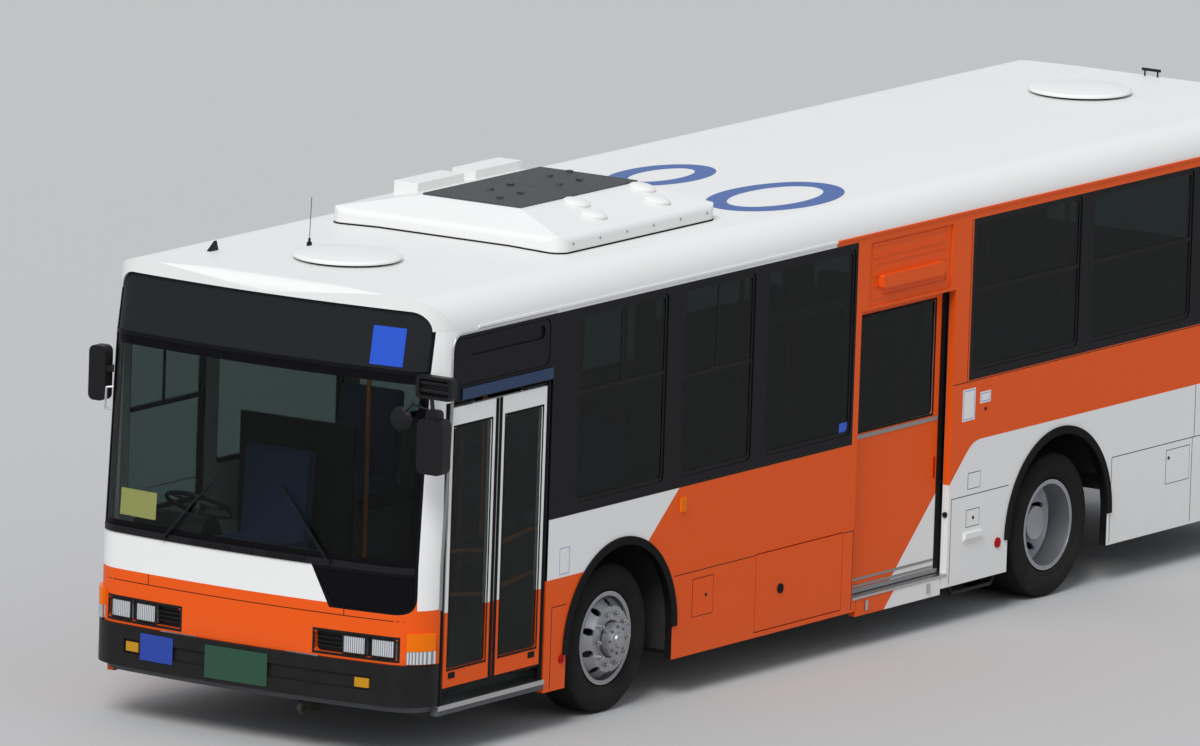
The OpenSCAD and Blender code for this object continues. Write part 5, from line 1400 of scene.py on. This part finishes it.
# The unit's roof slopes towards its side: its height over the roof at this y, and its angle
POD_SLOPE_Y = 0.472
POD_SLOPE_UP = 0.105
POD_SLOPE = math.radians(9.8)
POD_FALL = 0.173
# Slots on a dome: spacing and reach
SLOT_PITCH = 0.020
SLOT_REACH = 0.60 * OUTLET_R


class BUS_OT_roof_outlets(bpy.types.Operator):
    """Domed outlets with slotted caps on the roof unit"""
    bl_idname = "bus.roof_outlets"
    bl_label = "Roof outlets"

    def execute(self, context):
        domes, slots = bmesh.new(), bmesh.new()
        for cx, cy in OUTLETS:
            z = ROOF_Z + POD_SLOPE_UP - POD_FALL * (cy - POD_SLOPE_Y)
            place = (Matrix.Translation((FRONT_AXLE_X + cx, cy, z))
                     @ Matrix.Rotation(-POD_SLOPE, 4, "X"))
            bmesh.ops.create_uvsphere(
                domes, u_segments=32, v_segments=16, radius=OUTLET_R,
                matrix=place @ Matrix.Diagonal((1.0, 1.0, OUTLET_FLATNESS, 1.0)))
            for k in range(-3, 4):
                off = SLOT_PITCH * k
                half = math.sqrt(SLOT_REACH ** 2 - off ** 2)
                height = OUTLET_FLATNESS * math.sqrt(OUTLET_R ** 2 - off ** 2)
                ends = [place @ Vector((off, y, 0.94 * height)) for y in (-half, half)]
                middle = place @ Vector((off, 0, height + 0.0005))
                add_path(slots, [ends[0], middle, ends[1]], 0.0035, 6)
        finished(domes, "roof_outlet_domes", "white", smooth=True)
        finished(slots, "roof_outlet_slots", "grey")
        return {"FINISHED"}


# Tail lamps' lenses: y inner and outer, then heights of the amber and the clear one
TAIL_LENS_Y = (0.992, 1.108)
TAIL_AMBER_Z = (1.005, 1.148)
TAIL_CLEAR_Z = (0.702, 0.795)
TAIL_DIVIDERS_Z = (0.800, 0.998)
# Rear window: half width, heights, and the width of its seal outside the opening
REAR_WINDOW = (0.85, 1.70, 2.52)
REAR_SEAL_W = 0.022


class BUS_OT_tail_trim(bpy.types.Operator):
    """Lamp lenses, window seal, handles and marker lamps of the tail"""
    bl_idname = "bus.tail_trim"
    bl_label = "Tail trim"

    def execute(self, context):
        amber, clear, black, red = bmesh.new(), bmesh.new(), bmesh.new(), bmesh.new()
        x = REAR_X - 0.012
        for s in (1, -1):
            lo, hi = sorted(s * y for y in TAIL_LENS_Y)
            for bm, (z0, z1) in ((amber, TAIL_AMBER_Z), (clear, TAIL_CLEAR_Z)):
                add_block(bm, (x - 0.004, lo, z0), (x + 0.001, hi, z1))
            for z in TAIL_DIVIDERS_Z:
                add_block(black, (x - 0.005, lo - 0.003, z - 0.004),
                          (x + 0.001, hi + 0.003, z + 0.004))
            # Grip of the engine lid, and marker lamp under the roof
            add_block(black, (REAR_X - 0.006, s * 0.50 - 0.06, 1.26),
                      (REAR_X + 0.001, s * 0.50 + 0.06, 1.29))
            add_rod(red, (REAR_X - 0.010, s * 0.86, 2.695), (REAR_X + 0.004, s * 0.86, 2.695),
                    0.028, 20)
        add_block(black, (REAR_X - 0.020, -0.16, 0.582), (REAR_X + 0.001, 0.16, 0.612))
        half_w, z0, z1 = REAR_WINDOW
        w, lap = REAR_SEAL_W, 0.006
        for y0, y1, lo, hi in ((-half_w - w, half_w + w, z0 - w, z0 + lap),
                               (-half_w - w, half_w + w, z1 - lap, z1 + w),
                               (-half_w - w, -half_w + lap, z0, z1),
                               (half_w - lap, half_w + w, z0, z1)):
            add_block(black, (REAR_X - 0.004, y0, lo), (REAR_X + 0.009, y1, hi))
        finished(amber, "tail_amber", "amber")
        finished(clear, "tail_clear", "clear")
        finished(red, "tail_markers", "red")
        finished(black, "tail_rubbers", "rubber")
        return {"FINISHED"}


FLOOR_HALF = 300.0
FLOOR_GREY = (0.50, 0.50, 0.50)
SKY = (0.80, 0.83, 0.87, 1.0)
SKY_STRENGTH = 0.68
SUN_STRENGTH = 2.2
SUN_ANGLE = math.radians(25)
# The sun stands high ahead of the bus, a little to the door side
SUN_WAY = (-0.671, -0.180, -0.719)


class BUS_OT_stage(bpy.types.Operator):
    """Pale floor, soft light and the camera at the photograph's view"""
    bl_idname = "bus.stage"
    bl_label = "Stage"

    def execute(self, context):
        floor_mesh = bpy.data.meshes.new("stage_floor")
        half = FLOOR_HALF
        floor_mesh.from_pydata([(-half, -half, 0), (half, -half, 0), (half, half, 0),
                                (-half, half, 0)], [], [(0, 1, 2, 3)])
        floor_mesh.materials.append(Recipe("stage_pale", FLOOR_GREY, 0.9).mat)
        floor = bpy.data.objects.new("stage_floor", floor_mesh)
        context.scene.collection.objects.link(floor)
        world = bpy.data.worlds.new("studio")
        world.use_nodes = True
        back = world.node_tree.nodes["Background"]
        back.inputs["Color"].default_value = SKY
        back.inputs["Strength"].default_value = SKY_STRENGTH
        context.scene.world = world
        key = bpy.data.lights.new("soft_sun", "SUN")
        key.energy = SUN_STRENGTH
        key.angle = SUN_ANGLE
        lamp = bpy.data.objects.new("soft_sun", key)
        lamp.rotation_euler = Vector(SUN_WAY).to_track_quat("-Z", "Y").to_euler()
        context.scene.collection.objects.link(lamp)
        context.scene.view_settings.view_transform = "Standard"
        context.scene.camera = photo_camera()
        context.scene.collection.objects.link(context.scene.camera)
        return {"FINISHED"}


# The photograph's view, found from the wheels, belt and roof edges of the real bus
CAMERA = dict(swing=32.44, height=9.62, roll=2.23, distance=131.365, aim_x=1.40892,
              aim_z=1.816213, focal_px=20481.57, image_w=1200)
# The real body stood nose down on its springs by this slope, about a point near the rear axle
BODY_SLOPE = 0.01
SLOPE_PIVOT = (FRONT_AXLE_X - 2.65, 0.0, 1.5)


def photo_camera():
    """A long lens far out, turned and tilted to the photograph's view of the body."""
    swing, height, roll = (math.radians(CAMERA[k]) for k in ("swing", "height", "roll"))
    look = Vector((-math.cos(height) * math.cos(swing), -math.cos(height) * math.sin(swing),
                   -math.sin(height)))
    level = look.cross(Vector((0, 0, 1))).normalized()
    rise = level.cross(look)
    right = math.cos(roll) * level + math.sin(roll) * rise
    up = -math.sin(roll) * level + math.cos(roll) * rise
    spot = Vector((CAMERA["aim_x"], 0, CAMERA["aim_z"])) - CAMERA["distance"] * look
    pose = Matrix((right, up, -look)).transposed().to_4x4()
    pose.translation = spot
    pivot = Vector(SLOPE_PIVOT)
    lift = (Matrix.Translation(pivot) @ Matrix.Rotation(-math.atan(BODY_SLOPE), 4, "Y")
            @ Matrix.Translation(-pivot))
    data = bpy.data.cameras.new("photo_camera")
    data.sensor_fit = "HORIZONTAL"
    data.sensor_width = 36.0
    data.lens = 36.0 * CAMERA["focal_px"] / CAMERA["image_w"]
    data.clip_start = 1.0
    data.clip_end = 2000.0
    camera = bpy.data.objects.new("photo_camera", data)
    camera.matrix_world = lift @ pose
    return camera


OPERATORS = [BUS_OT_finishes, BUS_OT_tyres, BUS_OT_wheel_nuts, BUS_OT_roof_rings, BUS_OT_seams,
             BUS_OT_covers, BUS_OT_front_door, BUS_OT_middle_door, BUS_OT_window_bars,
             BUS_OT_front_trim, BUS_OT_mirror_faces, BUS_OT_roof_trim, BUS_OT_roof_outlets,
             BUS_OT_tail_trim, BUS_OT_stage]


class BUS_PT_panel(bpy.types.Panel):
    """Shows the bus's colours, sizes and building steps in the sidebar"""
    bl_idname = "BUS_PT_panel"
    bl_label = "Airport bus"
    bl_space_type = "VIEW_3D"
    bl_region_type = "UI"
    bl_category = "Bus"

    def draw(self, context):
        for group in (context.scene.bus_colours, context.scene.bus_sizes):
            for key in group.__annotations__:
                self.layout.prop(group, key)
        for operator in OPERATORS:
            self.layout.operator(operator.bl_idname)


CLASSES = [BusColours, BusSizes, *OPERATORS, BUS_PT_panel]


def register():
    for item in CLASSES:
        bpy.utils.register_class(item)
    bpy.types.Scene.bus_colours = bpy.props.PointerProperty(type=BusColours)
    bpy.types.Scene.bus_sizes = bpy.props.PointerProperty(type=BusSizes)


def unregister():
    del bpy.types.Scene.bus_colours
    del bpy.types.Scene.bus_sizes
    for item in reversed(CLASSES):
        bpy.utils.unregister_class(item)


def main():
    register()
    for operator in OPERATORS:
        area, name = operator.bl_idname.split(".")
        if getattr(getattr(bpy.ops, area), name)() != {"FINISHED"}:
            raise RuntimeError(operator.bl_label + " did not finish")


if __name__ == "__main__":
    main()
